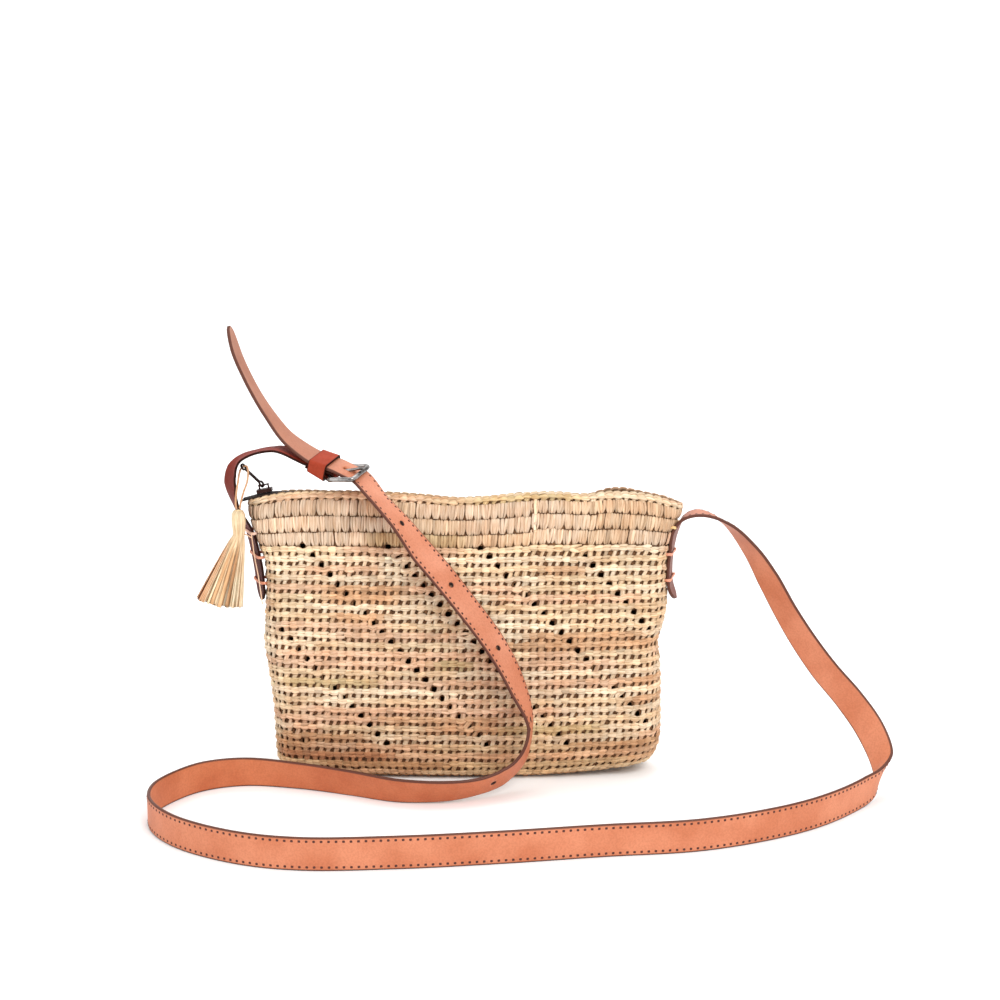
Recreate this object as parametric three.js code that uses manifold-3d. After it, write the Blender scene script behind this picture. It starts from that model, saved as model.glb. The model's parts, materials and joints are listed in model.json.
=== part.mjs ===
// Raffia crossbody bag: a crocheted pouch with a zipped mouth, a raffia tassel on the zip pull and
// a buckled leather shoulder strap that lies in a loop in front of the pouch.
// Millimetres, +Z up, -Y towards the front. The origin is the middle of the base, on the ground.

import * as THREE from 'three';
import { mergeVertices } from 'three/addons/utils/BufferGeometryUtils.js';
import Module from 'manifold-3d';

const wasm = await Module();
wasm.setup();

// Driving dimensions

const BAG_HEIGHT = 178;
const WALL = 2.6;
const BODY_COLUMNS = 48;
const FACE_POINTS = 24;
const CORNER_POINTS = 12;
const BODY_ROWS = [0, 2.5, 8, 20, 36, 54, 70, 82, 89, 96, 110, 136, 150, 164, 172, 178];

const STITCHES_ROUND = 110;
const EYELET_LINES = [
  { start: -43.2, step: 1.08 },
  { start: -32.7, step: 1.08 },
  { start: -20.1, step: 1.08 },
  { start: -9.5, step: 1.06 },
  { start: 1.9, step: 1.11 },
  { start: 14, step: 1 },
];
const EYELET_ROWS = 22;
const EYELET_TOP = 147;
const EYELET_PITCH = 5.9;
const EYELET_RADIUS = 1.9;
const EYELET_SIDES = 4;
const FRONT_STITCHES = 23;

const STRAP_WIDTH = 19;
const STRAP_THICK = 2;
const STRAP_STEP = 16;
const HOLE_RADIUS = 1.6;
const HOLE_PITCH = 48;
const HOLE_COUNT = 6;
const PRONG_SLOT = 8.8;
const PRONG_REST = 8.8;
const TIP_LENGTH = 18;
const TAB_TIP_LENGTH = 9;
const TIP_STEPS = [0, 0.08, 0.2, 0.4, 0.7, 1];
const TIP_LEAST_SHARE = 0.16;

const SHORT_THICK = 1.5;
const SHORT_STEP = 5;
const FOLD_STEPS = 6;
const PRONG_WINDOW = { at: 2.5, long: 13, wide: 5.2 };

const BAR_RADIUS = 1.5;
const FRAME_LENGTH = 17;
const FRAME_WIDTH = 24.6;
const FRAME_CORNER = 3.2;
const SEAT_GAP = 0.3;
const LAYER_GAP = 0.35;
const WIRE_SIDES = 8;
const PRONG_RADIUS = 1.1;
const PRONG_RING = { wall: 1.2, half: 2, sides: 14 };
const KEEPER_LENGTH = 12;
const KEEPER_START = -15;
const KEEPER_THICK = 1.1;
const KEEPER_LOW = { start: -0.4, end: -2.6 };

const ZIP_TAPE = { from: -139, to: 124 };
const ZIP_COIL = { from: -137, to: 122 };
const ZIP_STEPS = 26;
const ZIP_TAPE_THICK = 1.2;
const ZIP_COIL_WIDTH = 3.2;
const ZIP_COIL_TALL = 2;
const CORD_RADIUS = 0.65;
const CORD_SIDES = 8;
const CORD_STEPS = 24;

// Pouch outline at a few heights: reach to the left and right, half depth in the middle,
// half depth where the rounded ends begin, and the length of those ends.
const BODY_SECTIONS = [
  { z: 0, left: 112, right: 111, deep: 19, ends: 13, round: 14 },
  { z: 2.5, left: 117, right: 116, deep: 23.5, ends: 17, round: 17 },
  { z: 8, left: 120, right: 120, deep: 26.5, ends: 20, round: 19 },
  { z: 20, left: 121, right: 123, deep: 28, ends: 21.5, round: 19 },
  { z: 45, left: 122, right: 123, deep: 28.5, ends: 21.5, round: 18 },
  { z: 70, left: 125, right: 122.4, deep: 27.5, ends: 20.5, round: 17 },
  { z: 85, left: 127, right: 121, deep: 26, ends: 19.5, round: 16 },
  { z: 95, left: 126.2, right: 124, deep: 25, ends: 19, round: 15 },
  { z: 110, left: 125.3, right: 126, deep: 23.5, ends: 18, round: 14 },
  { z: 136, left: 125.4, right: 126.3, deep: 19.9, ends: 15.9, round: 12 },
  { z: 150, left: 130, right: 128.3, deep: 17.1, ends: 14.1, round: 11 },
  { z: 164, left: 134, right: 131.8, deep: 14, ends: 11.7, round: 9.8 },
  { z: 172, left: 135, right: 134.8, deep: 11.6, ends: 9.8, round: 9 },
  { z: 178, left: 135, right: 135, deep: 9.5, ends: 8, round: 8.5 },
];

// Height of the rim along the mouth, which sags between the ends.
const RIM = [
  { x: -140, z: 172.5 },
  { x: -112, z: 178.5 },
  { x: -78, z: 179.5 },
  { x: -40, z: 178.1 },
  { x: -8, z: 175.8 },
  { x: 12, z: 176.6 },
  { x: 38, z: 179 },
  { x: 59, z: 179.2 },
  { x: 74, z: 178 },
  { x: 92, z: 179.6 },
  { x: 115, z: 177.4 },
  { x: 140, z: 169.5 },
];
const RIM_BLEND_START = 110;

// How far the back of the rim sits under the front of it.
const BACK_RIM = [
  { x: -140, drop: 0 },
  { x: -118, drop: 0.5 },
  { x: -90, drop: 2 },
  { x: -65, drop: 2.2 },
  { x: -45, drop: 2 },
  { x: -22, drop: 2.2 },
  { x: -5, drop: 2.5 },
  { x: 40, drop: 3 },
  { x: 75, drop: 2.8 },
  { x: 95, drop: 0.2 },
  { x: 115, drop: 1.2 },
  { x: 128, drop: 0.4 },
  { x: 140, drop: 0 },
];

// The right bottom corner curls up off the ground.
const CORNER = { from: 45, reach: 70, lift: 5, curl: 1.3, fades: 45 };

// Dents pressed into the front wall: place, reach and depth.
const DENTS = [
  { x: 118, z: 89, wide: 15, tall: 5, deep: 4 },
  { x: -118, z: 91, wide: 13, tall: 5, deep: 2.5 },
];

// Buckle seat: middle of the heel bar, the way to the end bar and the way to the near edge.
const BUCKLE_AT = new THREE.Vector3(-79.6, -9, 192.5);
const BUCKLE_ALONG = new THREE.Vector3(0.945, -0.36, 0.04).normalize();
const BUCKLE_NEAR = new THREE.Vector3(-0.35, -0.92, -0.2);
const BUCKLE_OUT = new THREE.Vector3().crossVectors(BUCKLE_NEAR, BUCKLE_ALONG).normalize();
const BUCKLE_ACROSS = new THREE.Vector3().crossVectors(BUCKLE_ALONG, BUCKLE_OUT);

// Axes at the heel bar, turned about it: the layered leather climbs away from the flat frame.
function buckleAxes(turn) {
  const way = BUCKLE_ALONG.clone().multiplyScalar(Math.cos(turn)).addScaledVector(BUCKLE_OUT, -Math.sin(turn));
  return new THREE.Matrix4().makeBasis(
    way,
    BUCKLE_ACROSS.clone().negate(),
    new THREE.Vector3().crossVectors(BUCKLE_ACROSS, way),
  ).setPosition(BUCKLE_AT);
}

const LAY_TURN = THREE.MathUtils.degToRad(20);
const FRAME_AXES = buckleAxes(0);
const LAY_AXES = buckleAxes(LAY_TURN);

function buckleStation(axes, along, out) {
  const p = new THREE.Vector3(along, 0, out).applyMatrix4(axes);
  return [p.x, p.y, p.z, BUCKLE_ACROSS.x, BUCKLE_ACROSS.y, BUCKLE_ACROSS.z];
}

// Radius of each layer round the bars of the buckle, and the climb of the strap between them.
const FOLD_RADIUS = BAR_RADIUS + SEAT_GAP + SHORT_THICK / 2;
const STRAP_OVER_HEEL = FOLD_RADIUS + SHORT_THICK / 2 + LAYER_GAP + STRAP_THICK / 2;
const STRAP_UNDER_END = BAR_RADIUS + SEAT_GAP + STRAP_THICK / 2;
const STRAP_CLIMB = Math.asin((STRAP_OVER_HEEL + STRAP_UNDER_END) / FRAME_LENGTH);

// Stations of the strap from under the end bar to over the heel bar, on the line that touches both.
function strapThroughFrame() {
  const [sin, cos] = [Math.sin(STRAP_CLIMB), Math.cos(STRAP_CLIMB)];
  const low = [FRAME_LENGTH - STRAP_UNDER_END * sin, -STRAP_UNDER_END * cos];
  const high = [STRAP_OVER_HEEL * sin, STRAP_OVER_HEEL * cos];
  return [0, 0.33, 0.67, 1].map((t) => buckleStation(
    FRAME_AXES,
    low[0] + (high[0] - low[0]) * t,
    low[1] + (high[1] - low[1]) * t,
  ));
}

// Pin of the buckle from its ring to past the end bar: place along the frame, height and radius.
const PRONG_ROUTE = [
  { x: 2.5, z: 0.2, radius: PRONG_RADIUS },
  { x: 6, z: 1.1, radius: PRONG_RADIUS },
  { x: 12, z: 2, radius: PRONG_RADIUS },
  { x: FRAME_LENGTH, z: BAR_RADIUS + SEAT_GAP + PRONG_RADIUS, radius: PRONG_RADIUS },
  { x: FRAME_LENGTH + 2.6, z: BAR_RADIUS + SEAT_GAP + 0.6, radius: 0.7 * PRONG_RADIUS },
];

// Long strap from its tab on the right side to the free end: x, y, z of the middle line, then the
// direction towards the edge that is uppermost where the strap stands on the ground.
const LONG_STATIONS = [
  [132.2, 0, 111, -0.21, -0.98, 0],
  [128.8, 0, 119, -0.21, -0.98, 0],
  [128.1, 0, 131, -0.21, -0.98, 0],
  [129.2, 0, 143, -0.21, -0.98, 0],
  [131.2, 0, 154, -0.3, -0.95, 0],
  [136.8, 0, 162.5, -0.22, -0.98, 0],
  [146.4, -0.5, 165.5, -0.05, -1, 0],
  [163, -2, 159, 0.13, -0.98, 0.1],
  [178.5, -4, 142, 0.36, -0.89, 0.27],
  [189.5, -7, 124, 0.55, -0.75, 0.36],
  [199.6, -10, 105.5, 0.6, -0.7, 0.36],
  [211, -13, 87, 0.66, -0.6, 0.42],
  [224, -17, 69, 0.71, -0.5, 0.48],
  [239.5, -22, 51, 0.7, -0.42, 0.52],
  [251, -31, 34.5, 0.64, -0.3, 0.62],
  [256, -44, 19.5, 0.5, -0.3, 0.78],
  [250, -60, 12, 0.2, -0.1, 0.97],
  [240, -72, 9.8, 0.05, 0, 1],
  [210, -102, 9.5, 0, 0, 1],
  [178, -123, 9.5, 0, 0, 1],
  [133, -141, 9.5, 0, 0, 1],
  [77, -149.5, 9.5, 0, 0, 1],
  [21, -159, 9.5, 0, 0, 1],
  [-33, -166, 9.5, 0, 0, 1],
  [-87, -168, 9.5, 0, 0, 1],
  [-123, -159, 9.5, 0, 0, 1],
  [-161, -135, 9.5, 0, 0, 1],
  [-180, -108, 9.5, 0, 0, 1],
  [-183, -84, 9.5, 0, 0, 1],
  [-175, -63, 9.5, 0, 0, 1],
  [-160, -45, 9.5, 0, 0, 1],
  [-136, -37, 9.5, 0, -0.1, 1],
  [-102, -44, 9.5, 0, -0.27, 0.96],
  [-70, -55.5, 9, 0, -0.34, 0.94],
  [-39, -69, 9, 0, -0.45, 0.89],
  [-9, -70, 9, 0, -0.57, 0.82],
  [9, -64.5, 10, -0.15, -0.72, 0.68],
  [23.5, -56.5, 13.2, -0.31, -0.79, 0.52],
  [33.4, -51.5, 20.5, -0.37, -0.91, 0.21],
  [38, -49, 30, -0.2, -0.98, 0.05],
  [39.8, -46, 40, -0.1, -0.99, 0],
  [38.6, -44, 48.5, -0.19, -0.98, -0.04],
  [32.6, -41, 63.5, -0.42, -0.89, -0.17],
  [25.3, -38.5, 79, -0.5, -0.83, -0.25],
  [15.4, -36.5, 95, -0.51, -0.79, -0.34],
  [3.8, -34.5, 110.5, -0.49, -0.79, -0.37],
  [-14, -31.5, 133, -0.5, -0.77, -0.41],
  [-26, -29.5, 147, -0.5, -0.77, -0.4],
  [-39.3, -28, 164.5, -0.3, -0.91, -0.28],
  [-51.4, -24.5, 177.5, -0.22, -0.95, -0.18],
  ...strapThroughFrame(),
  buckleStation(LAY_AXES, 0, STRAP_OVER_HEEL),
  buckleStation(LAY_AXES, KEEPER_START + KEEPER_LENGTH, STRAP_OVER_HEEL),
  buckleStation(LAY_AXES, KEEPER_START + KEEPER_LENGTH / 2, STRAP_OVER_HEEL),
  buckleStation(LAY_AXES, KEEPER_START, STRAP_OVER_HEEL),
  [-111, 3.5, 213, -0.2, -0.97, -0.1],
  [-121.5, 7.5, 225.5, -0.12, -0.99, -0.06],
  [-129.8, 10, 238, -0.08, -0.99, -0.04],
  [-136.4, 11.5, 250.5, -0.07, -0.99, -0.03],
  [-142, 12.5, 263.5, -0.07, -0.99, -0.03],
  [-146.8, 13, 281, -0.07, -0.99, -0.03],
];

// Short strap from its tab on the left side to the fold round the heel bar.
const SHORT_STATIONS = [
  [-128.6, 0, 110, -0.36, 0.93, 0],
  [-129, 0, 118, -0.38, 0.92, 0],
  [-130.6, 0, 134, -0.42, 0.91, 0],
  [-135.4, 0, 155, -0.4, 0.92, 0],
  [-143, -0.5, 170, -0.32, 0.94, 0],
  [-146.2, -1.5, 183.4, -0.5, 0.86, 0.05],
  [-144.6, -2.5, 193, -0.4, 0.9, 0.1],
  [-139.5, -3, 200, -0.14, 0.98, 0.06],
  [-130, -3, 204.2, 0, 1, 0],
  [-118, -2.5, 206, 0.06, 0.99, 0],
  [-107, -1, 203.4, 0.22, 0.95, 0.1],
];

// Tail of the short strap folded back under it: place along it, and sink below a close fit.
const FOLDED_TAIL = [
  { along: -3, sink: 2.2 },
  { along: -6, sink: 1.1 },
  { along: -9, sink: 0.4 },
  { along: -12, sink: 0 },
  { along: -17, sink: 0 },
];

// Tassel: heights of its stages and the lean of its skirt.
const TASSEL = { x: -139.5, y: -15.5, top: 170.5, neck: 154.5, hem: 112, lean: -13, spread: 14, deep: 9.5 };
const TASSEL_LOCKS = 11;
const LOCK_STEPS = [0, 0.25, 0.55, 1];

// Bound head of the tassel: radius at each depth below its top.
const TASSEL_HEAD = [
  { down: 0, radius: 0.9 },
  { down: 1.2, radius: 3.4 },
  { down: 5, radius: 4.1 },
  { down: 10, radius: 4 },
  { down: 16, radius: 3.1 },
  { down: 19, radius: 3 },
];

// Packed middle of the skirt: share of the full spread at each depth below the neck.
const TASSEL_CORE = [
  { down: 0, share: 0.24 },
  { down: 18, share: 0.49 },
  { down: 34, share: 0.74 },
];

// Strand that carries the tassel, from the head up through the pull's eye and back.
const CORD_POINTS = [
  [-140.6, -15.8, 171],
  [-141, -15, 175],
  [-140.6, -13, 181],
  [-139.9, -10.4, 187],
  [-139.4, -8.2, 191.5],
  [-138.5, -6.7, 194.4],
  [-137, -7, 195.8],
  [-134.8, -8, 196.2],
  [-133.7, -9.4, 192.8],
  [-134.2, -11, 187],
  [-136.2, -13.2, 181],
  [-137.8, -14.8, 175],
  [-138.5, -15.4, 171],
];

const COLOURS = {
  raffia: { color: 0xd9bb8c, roughness: 0.85, metalness: 0 },
  tassel: { color: 0xe6d09a, roughness: 0.8, metalness: 0 },
  leather: { color: 0xc9764a, roughness: 0.55, metalness: 0 },
  darkLeather: { color: 0x9c4a30, roughness: 0.55, metalness: 0 },
  zip: { color: 0x2c1d18, roughness: 0.7, metalness: 0 },
  metal: { color: 0x9a948e, roughness: 0.3, metalness: 1 },
};

// Interpolation of a named column along a short table, smooth through its rows.
function along(rows, key, at, column) {
  const last = rows.length - 1;
  if (at <= rows[0][key]) return rows[0][column];
  if (at >= rows[last][key]) return rows[last][column];
  let i = 0;
  while (rows[i + 1][key] < at) i += 1;
  const slope = (k) => {
    const a = rows[Math.max(k - 1, 0)];
    const b = rows[Math.min(k + 1, last)];
    return (b[column] - a[column]) / (b[key] - a[key]);
  };
  const span = rows[i + 1][key] - rows[i][key];
  const t = (at - rows[i][key]) / span;
  const rise = 3 * t * t - 2 * t * t * t;
  const lead = t * (1 - t) * (1 - t) * span * slope(i);
  const trail = t * t * (1 - t) * span * slope(i + 1);
  return rows[i][column] * (1 - rise) + rows[i + 1][column] * rise + lead - trail;
}

// Closed surface through rings of points, capped at both ends unless the rings join in a loop.
function loft(rings, loop = false) {
  const count = rings[0].length;
  const triangles = [];
  const steps = loop ? rings.length : rings.length - 1;
  for (let i = 0; i < steps; i += 1) {
    const here = i * count;
    const next = ((i + 1) % rings.length) * count;
    for (let j = 0; j < count; j += 1) {
      const k = (j + 1) % count;
      triangles.push(here + j, here + k, next + k, here + j, next + k, next + j);
    }
  }
  const cap = (start, forward) => {
    let low = 0;
    let high = count - 1;
    while (high - low > 1) {
      const corner = low <= count - 1 - high ? low + 1 : high - 1;
      const tri = [start + low, start + corner, start + high];
      triangles.push(...(forward ? tri : tri.reverse()));
      if (corner === low + 1) low += 1;
      else high -= 1;
    }
  };
  if (!loop) {
    cap(0, false);
    cap((rings.length - 1) * count, true);
  }
  return indexed(rings.flat(), triangles);
}

// Triangles turned so that they face out of the closed surface through these points.
function outward(points, triangles) {
  let volume = 0;
  for (let i = 0; i < triangles.length; i += 3) {
    const [a, b, c] = [points[triangles[i]], points[triangles[i + 1]], points[triangles[i + 2]]];
    volume += new THREE.Vector3().crossVectors(b, c).dot(a);
  }
  return volume > 0 ? triangles : triangles.reverse();
}

function indexed(points, triangles) {
  const geometry = new THREE.BufferGeometry();
  geometry.setAttribute('position', new THREE.Float32BufferAttribute(points.flatMap((p) => p.toArray()), 3));
  geometry.setIndex(outward(points, triangles));
  return geometry;
}

function toSolid(geometry) {
  const bare = geometry.clone();
  bare.deleteAttribute('normal');
  bare.deleteAttribute('uv');
  const merged = mergeVertices(bare, 1e-4);
  const { position } = merged.attributes;
  const corner = (_, i) => new THREE.Vector3().fromBufferAttribute(position, i);
  const points = Array.from({ length: position.count }, corner);
  const vertProperties = new Float32Array(position.array);
  const triVerts = new Uint32Array(outward(points, Array.from(merged.index.array)));
  return new wasm.Manifold(new wasm.Mesh({ numProp: 3, vertProperties, triVerts }));
}

function toGeometry(solid) {
  const { vertProperties, triVerts } = solid.getMesh();
  const geometry = new THREE.BufferGeometry();
  geometry.setAttribute('position', new THREE.Float32BufferAttribute(vertProperties, 3));
  geometry.setIndex(Array.from(triVerts));
  return geometry;
}

function cut(geometry, cutters) {
  const removed = cutters.map(toSolid).reduce((sum, cutter) => sum.add(cutter));
  return toGeometry(toSolid(geometry).subtract(removed));
}

function join(geometries) {
  return toGeometry(geometries.map(toSolid).reduce((sum, solid) => sum.add(solid)));
}

function piece(name, geometry, look) {
  geometry.computeVertexNormals();
  const mesh = new THREE.Mesh(geometry, new THREE.MeshStandardMaterial(look));
  mesh.name = name;
  return mesh;
}

// Round bar through a point along a direction, used for eyelets and punched holes.
function bar(centre, direction, radius, length, sides) {
  const geometry = new THREE.CylinderGeometry(radius, radius, length, sides);
  const turn = new THREE.Quaternion().setFromUnitVectors(new THREE.Vector3(0, 1, 0), direction);
  return geometry.applyQuaternion(turn).translate(centre.x, centre.y, centre.z);
}

// Pouch outline

function rimRise(x, y, height) {
  const t = Math.max((height - RIM_BLEND_START) / (BAG_HEIGHT - RIM_BLEND_START), 0);
  const drop = y > 0 ? along(BACK_RIM, 'x', x, 'drop') : 0;
  return (along(RIM, 'x', x, 'z') - drop - BAG_HEIGHT) * t * t;
}

function cornerLift(x, height) {
  const t = Math.max((x - CORNER.from) / CORNER.reach, 0);
  const left = Math.max(1 - height / CORNER.fades, 0);
  return CORNER.lift * t ** CORNER.curl * left * left;
}

function dent(x, z) {
  const depths = DENTS.map((d) => {
    const reach = ((x - d.x) / d.wide) ** 2 + ((z - d.z) / d.tall) ** 2;
    return d.deep * Math.exp(-reach);
  });
  return depths.reduce((sum, depth) => sum + depth, 0);
}

// One ring of the pouch, walked from the middle of the front round by the right side.
function bodyRing(height, inset, columns) {
  const at = (column) => along(BODY_SECTIONS, 'z', height, column);
  const reach = { left: at('left') - inset, right: at('right') - inset };
  const deep = at('deep') - inset;
  const ends = at('ends') - inset;
  const round = at('round') - inset / 2;
  const quarter = (side) => {
    const flat = reach[side] - round;
    const straight = Array.from({ length: FACE_POINTS }, (_, i) => {
      const t = i / FACE_POINTS;
      return [flat * t, ends + (deep - ends) * (1 - t * t)];
    });
    const curved = Array.from({ length: CORNER_POINTS + 1 }, (_, i) => {
      const a = (i / CORNER_POINTS) * (Math.PI / 2);
      return [flat + round * Math.sin(a), ends * Math.cos(a)];
    });
    return [...straight, ...curved];
  };
  const right = quarter('right');
  const left = quarter('left');
  const outline = [
    ...right.map(([x, y]) => [x, -y]),
    ...right.slice(0, -1).reverse(),
    ...left.slice(1).map(([x, y]) => [-x, y]),
    ...left.slice(0, -1).reverse().map(([x, y]) => [-x, -y]),
  ];
  const lengths = [0];
  for (let i = 1; i < outline.length; i += 1) {
    const step = Math.hypot(outline[i][0] - outline[i - 1][0], outline[i][1] - outline[i - 1][1]);
    lengths.push(lengths[i - 1] + step);
  }
  const whole = lengths.at(-1);
  let i = 0;
  return Array.from({ length: columns }, (_, k) => {
    const target = (whole * k) / columns;
    while (lengths[i + 1] < target) i += 1;
    const t = (target - lengths[i]) / (lengths[i + 1] - lengths[i]);
    const x = outline[i][0] + (outline[i + 1][0] - outline[i][0]) * t;
    const y = outline[i][1] + (outline[i + 1][1] - outline[i][1]) * t;
    const pressed = y < 0 ? y + dent(x, height) : y;
    return new THREE.Vector3(x, pressed, height + rimRise(x, y, height) + cornerLift(x, height));
  });
}

// Ring walked from the right end instead, so that the base is laid in strips across the pouch.
function ringFromEnd(height, inset) {
  const ring = bodyRing(height, inset, BODY_COLUMNS);
  const end = Math.round(BODY_COLUMNS / 4);
  return [...ring.slice(end), ...ring.slice(0, end)];
}

function bagBody() {
  const outer = BODY_ROWS.map((z) => ringFromEnd(z, 0));
  const innerRows = BODY_ROWS.filter((z) => z > WALL);
  const inner = [WALL, ...innerRows].map((z) => ringFromEnd(z, WALL));
  const shell = loft([...outer, ...inner.reverse()]);
  return cut(shell, eyelets());
}

// Heights of the rows of stitches, one pitch apart down the curve of the front wall.
function rowHeights() {
  const heights = [];
  let walked = 0;
  const fine = 0.1;
  for (let z = EYELET_TOP; z > fine; z -= fine) {
    if (walked >= heights.length * EYELET_PITCH) heights.push(z);
    const sunk = along(BODY_SECTIONS, 'z', z, 'deep') - along(BODY_SECTIONS, 'z', z - fine, 'deep');
    walked += Math.hypot(fine, sunk);
  }
  return heights;
}

// Diagonal lines of eyelets across the front, about one stitch further to the right on each row down.
function eyelets() {
  const cutters = [];
  const heights = rowHeights();
  for (let row = 0; row < EYELET_ROWS; row += 1) {
    const height = heights[row];
    const ring = bodyRing(height, WALL / 2, STITCHES_ROUND * 8);
    const above = bodyRing(height + 1, WALL / 2, STITCHES_ROUND * 8);
    for (const { start, step } of EYELET_LINES) {
      const stitch = start + row * step;
      if (Math.abs(stitch) > FRONT_STITCHES) continue;
      const k = (Math.round(stitch * 8) + ring.length) % ring.length;
      const across = ring[(k + 1) % ring.length].clone().sub(ring[(k + ring.length - 1) % ring.length]);
      const normal = across.cross(above[k].clone().sub(ring[k])).normalize();
      cutters.push(bar(ring[k], normal, EYELET_RADIUS, 4 * WALL, EYELET_SIDES));
    }
  }
  return cutters;
}

// Leather ribbons

class Ribbon {
  constructor(stations, width, thick) {
    this.curve = new THREE.CatmullRomCurve3(stations.map((s) => new THREE.Vector3(s[0], s[1], s[2])));
    this.curve.arcLengthDivisions = 2000;
    this.sides = stations.map((s) => new THREE.Vector3(s[3], s[4], s[5]).normalize());
    this.width = width;
    this.thick = thick;
    this.length = this.curve.getLength();
  }

  // Middle point, way along, way across and outward face at a distance along the ribbon.
  frame(distance) {
    const u = Math.min(Math.max(distance / this.length, 0), 1);
    const t = this.curve.getUtoTmapping(u) * (this.sides.length - 1);
    const i = Math.min(Math.floor(t), this.sides.length - 2);
    const middle = this.curve.getPointAt(u);
    const way = this.curve.getTangentAt(u);
    const across = this.sides[i].clone().lerp(this.sides[i + 1], t - i);
    across.addScaledVector(way, -across.dot(way)).normalize();
    return { middle, way, across, face: new THREE.Vector3().crossVectors(way, across) };
  }

  ring(distance, share) {
    const { middle, across, face } = this.frame(distance);
    const half = (this.width / 2) * share;
    const corners = [[half, -1], [half, 1], [-half, 1], [-half, -1]];
    return corners.map(([side, up]) => {
      const corner = middle.clone().addScaledVector(across, side).addScaledVector(face, (up * this.thick) / 2);
      corner.z = Math.max(corner.z, 0);
      return corner;
    });
  }

  // Distances of the rings: the stations, with the wider intervals between them divided evenly.
  distances(step) {
    const lengths = this.curve.getLengths();
    const last = this.sides.length - 1;
    const at = this.sides.map((_, i) => lengths[Math.round((i / last) * (lengths.length - 1))]);
    return at.slice(0, -1).flatMap((from, i) => {
      const count = Math.ceil((at[i + 1] - from) / step);
      return Array.from({ length: count }, (_, j) => from + ((at[i + 1] - from) * j) / count);
    });
  }

  nearest(point) {
    let best = 0;
    for (let d = 0; d <= this.length; d += 0.5) {
      if (this.frame(d).middle.distanceTo(point) < this.frame(best).middle.distanceTo(point)) best = d;
    }
    return best;
  }
}

// Share of the full width near a rounded end.
function roundedEnd(fromEnd, length) {
  const t = Math.min(fromEnd / length, 1);
  return Math.max(Math.sqrt(1 - (1 - t) ** 2), TIP_LEAST_SHARE);
}

function ribbonRings(ribbon, step, startTip, endTip) {
  const endSteps = endTip ? TIP_STEPS : [0];
  const distances = [
    ...TIP_STEPS.map((t) => t * startTip),
    ...ribbon.distances(step).filter((d) => d > startTip + 1 && d < ribbon.length - endTip - 1),
    ...endSteps.map((t) => ribbon.length - t * endTip).reverse(),
  ];
  return distances.map((d) => {
    const share = Math.min(roundedEnd(d, startTip), endTip ? roundedEnd(ribbon.length - d, endTip) : 1);
    return ribbon.ring(d, share);
  });
}

function strapLong() {
  const ribbon = new Ribbon(LONG_STATIONS, STRAP_WIDTH, STRAP_THICK);
  const band = loft(ribbonRings(ribbon, STRAP_STEP, TAB_TIP_LENGTH, TIP_LENGTH));
  const pinned = ribbon.nearest(new THREE.Vector3(PRONG_REST, 0, 1.3).applyMatrix4(FRAME_AXES));
  const holes = Array.from({ length: HOLE_COUNT - 1 }, (_, i) => {
    const { middle, face } = ribbon.frame(pinned - (i + 1) * HOLE_PITCH);
    return bar(middle, face, HOLE_RADIUS, 4 * STRAP_THICK, 6);
  });
  const { middle, way, across, face } = ribbon.frame(pinned);
  const basis = new THREE.Matrix4().makeBasis(way, across, face).setPosition(middle);
  const drawn = new THREE.BoxGeometry(PRONG_SLOT, 2 * HOLE_RADIUS, 3 * STRAP_THICK).applyMatrix4(basis);
  return cut(band, [...holes, drawn]);
}

function strapShort() {
  const fold = Array.from({ length: FOLD_STEPS + 1 }, (_, i) => {
    const turn = (i / FOLD_STEPS) * Math.PI;
    return buckleStation(LAY_AXES, FOLD_RADIUS * Math.sin(turn), FOLD_RADIUS * Math.cos(turn));
  });
  const lower = FOLD_RADIUS - SHORT_THICK - SEAT_GAP;
  const seat = [
    buckleStation(LAY_AXES, KEEPER_START - 3, FOLD_RADIUS - SEAT_GAP),
    buckleStation(LAY_AXES, KEEPER_START, FOLD_RADIUS),
    buckleStation(LAY_AXES, KEEPER_START + KEEPER_LENGTH / 2, FOLD_RADIUS),
    buckleStation(LAY_AXES, -4, FOLD_RADIUS),
    ...fold,
    ...FOLDED_TAIL.map(({ along: at, sink }) => buckleStation(LAY_AXES, at, lower - sink)),
  ];
  const turned = seat.map(([x, y, z, ax, ay, az]) => [x, y, z, -ax, -ay, -az]);
  const ribbon = new Ribbon([...SHORT_STATIONS, ...turned], STRAP_WIDTH, SHORT_THICK);
  const band = loft(ribbonRings(ribbon, SHORT_STEP, TAB_TIP_LENGTH, 0));
  const window = new THREE.BoxGeometry(PRONG_WINDOW.long, PRONG_WINDOW.wide, 4 * FOLD_RADIUS);
  return cut(band, [window.translate(PRONG_WINDOW.at, 0, 0).applyMatrix4(LAY_AXES)]);
}

// Buckle and keeper, drawn with X along the strap, Y across it and Z out of its face

function roundedPath(length, width, corner, arcSteps) {
  const centres = [
    [length - corner, width / 2 - corner],
    [corner, width / 2 - corner],
    [corner, -width / 2 + corner],
    [length - corner, -width / 2 + corner],
  ];
  return centres.flatMap(([x, y], quarter) => Array.from({ length: arcSteps + 1 }, (_, i) => {
    const a = (quarter + i / arcSteps) * (Math.PI / 2);
    return new THREE.Vector2(x + corner * Math.cos(a), y + corner * Math.sin(a));
  }));
}

function buckleFrame() {
  const path = roundedPath(FRAME_LENGTH, FRAME_WIDTH, FRAME_CORNER, 4);
  const rings = path.map((p, i) => {
    const before = path[(i + path.length - 1) % path.length];
    const after = path[(i + 1) % path.length];
    const out = new THREE.Vector2(after.y - before.y, before.x - after.x).normalize();
    return Array.from({ length: WIRE_SIDES }, (_, j) => {
      const a = (j / WIRE_SIDES) * Math.PI * 2;
      const wide = BAR_RADIUS * Math.cos(a);
      return new THREE.Vector3(p.x + out.x * wide, p.y + out.y * wide, BAR_RADIUS * Math.sin(a));
    });
  });
  return loft(rings, true).applyMatrix4(FRAME_AXES);
}

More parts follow.
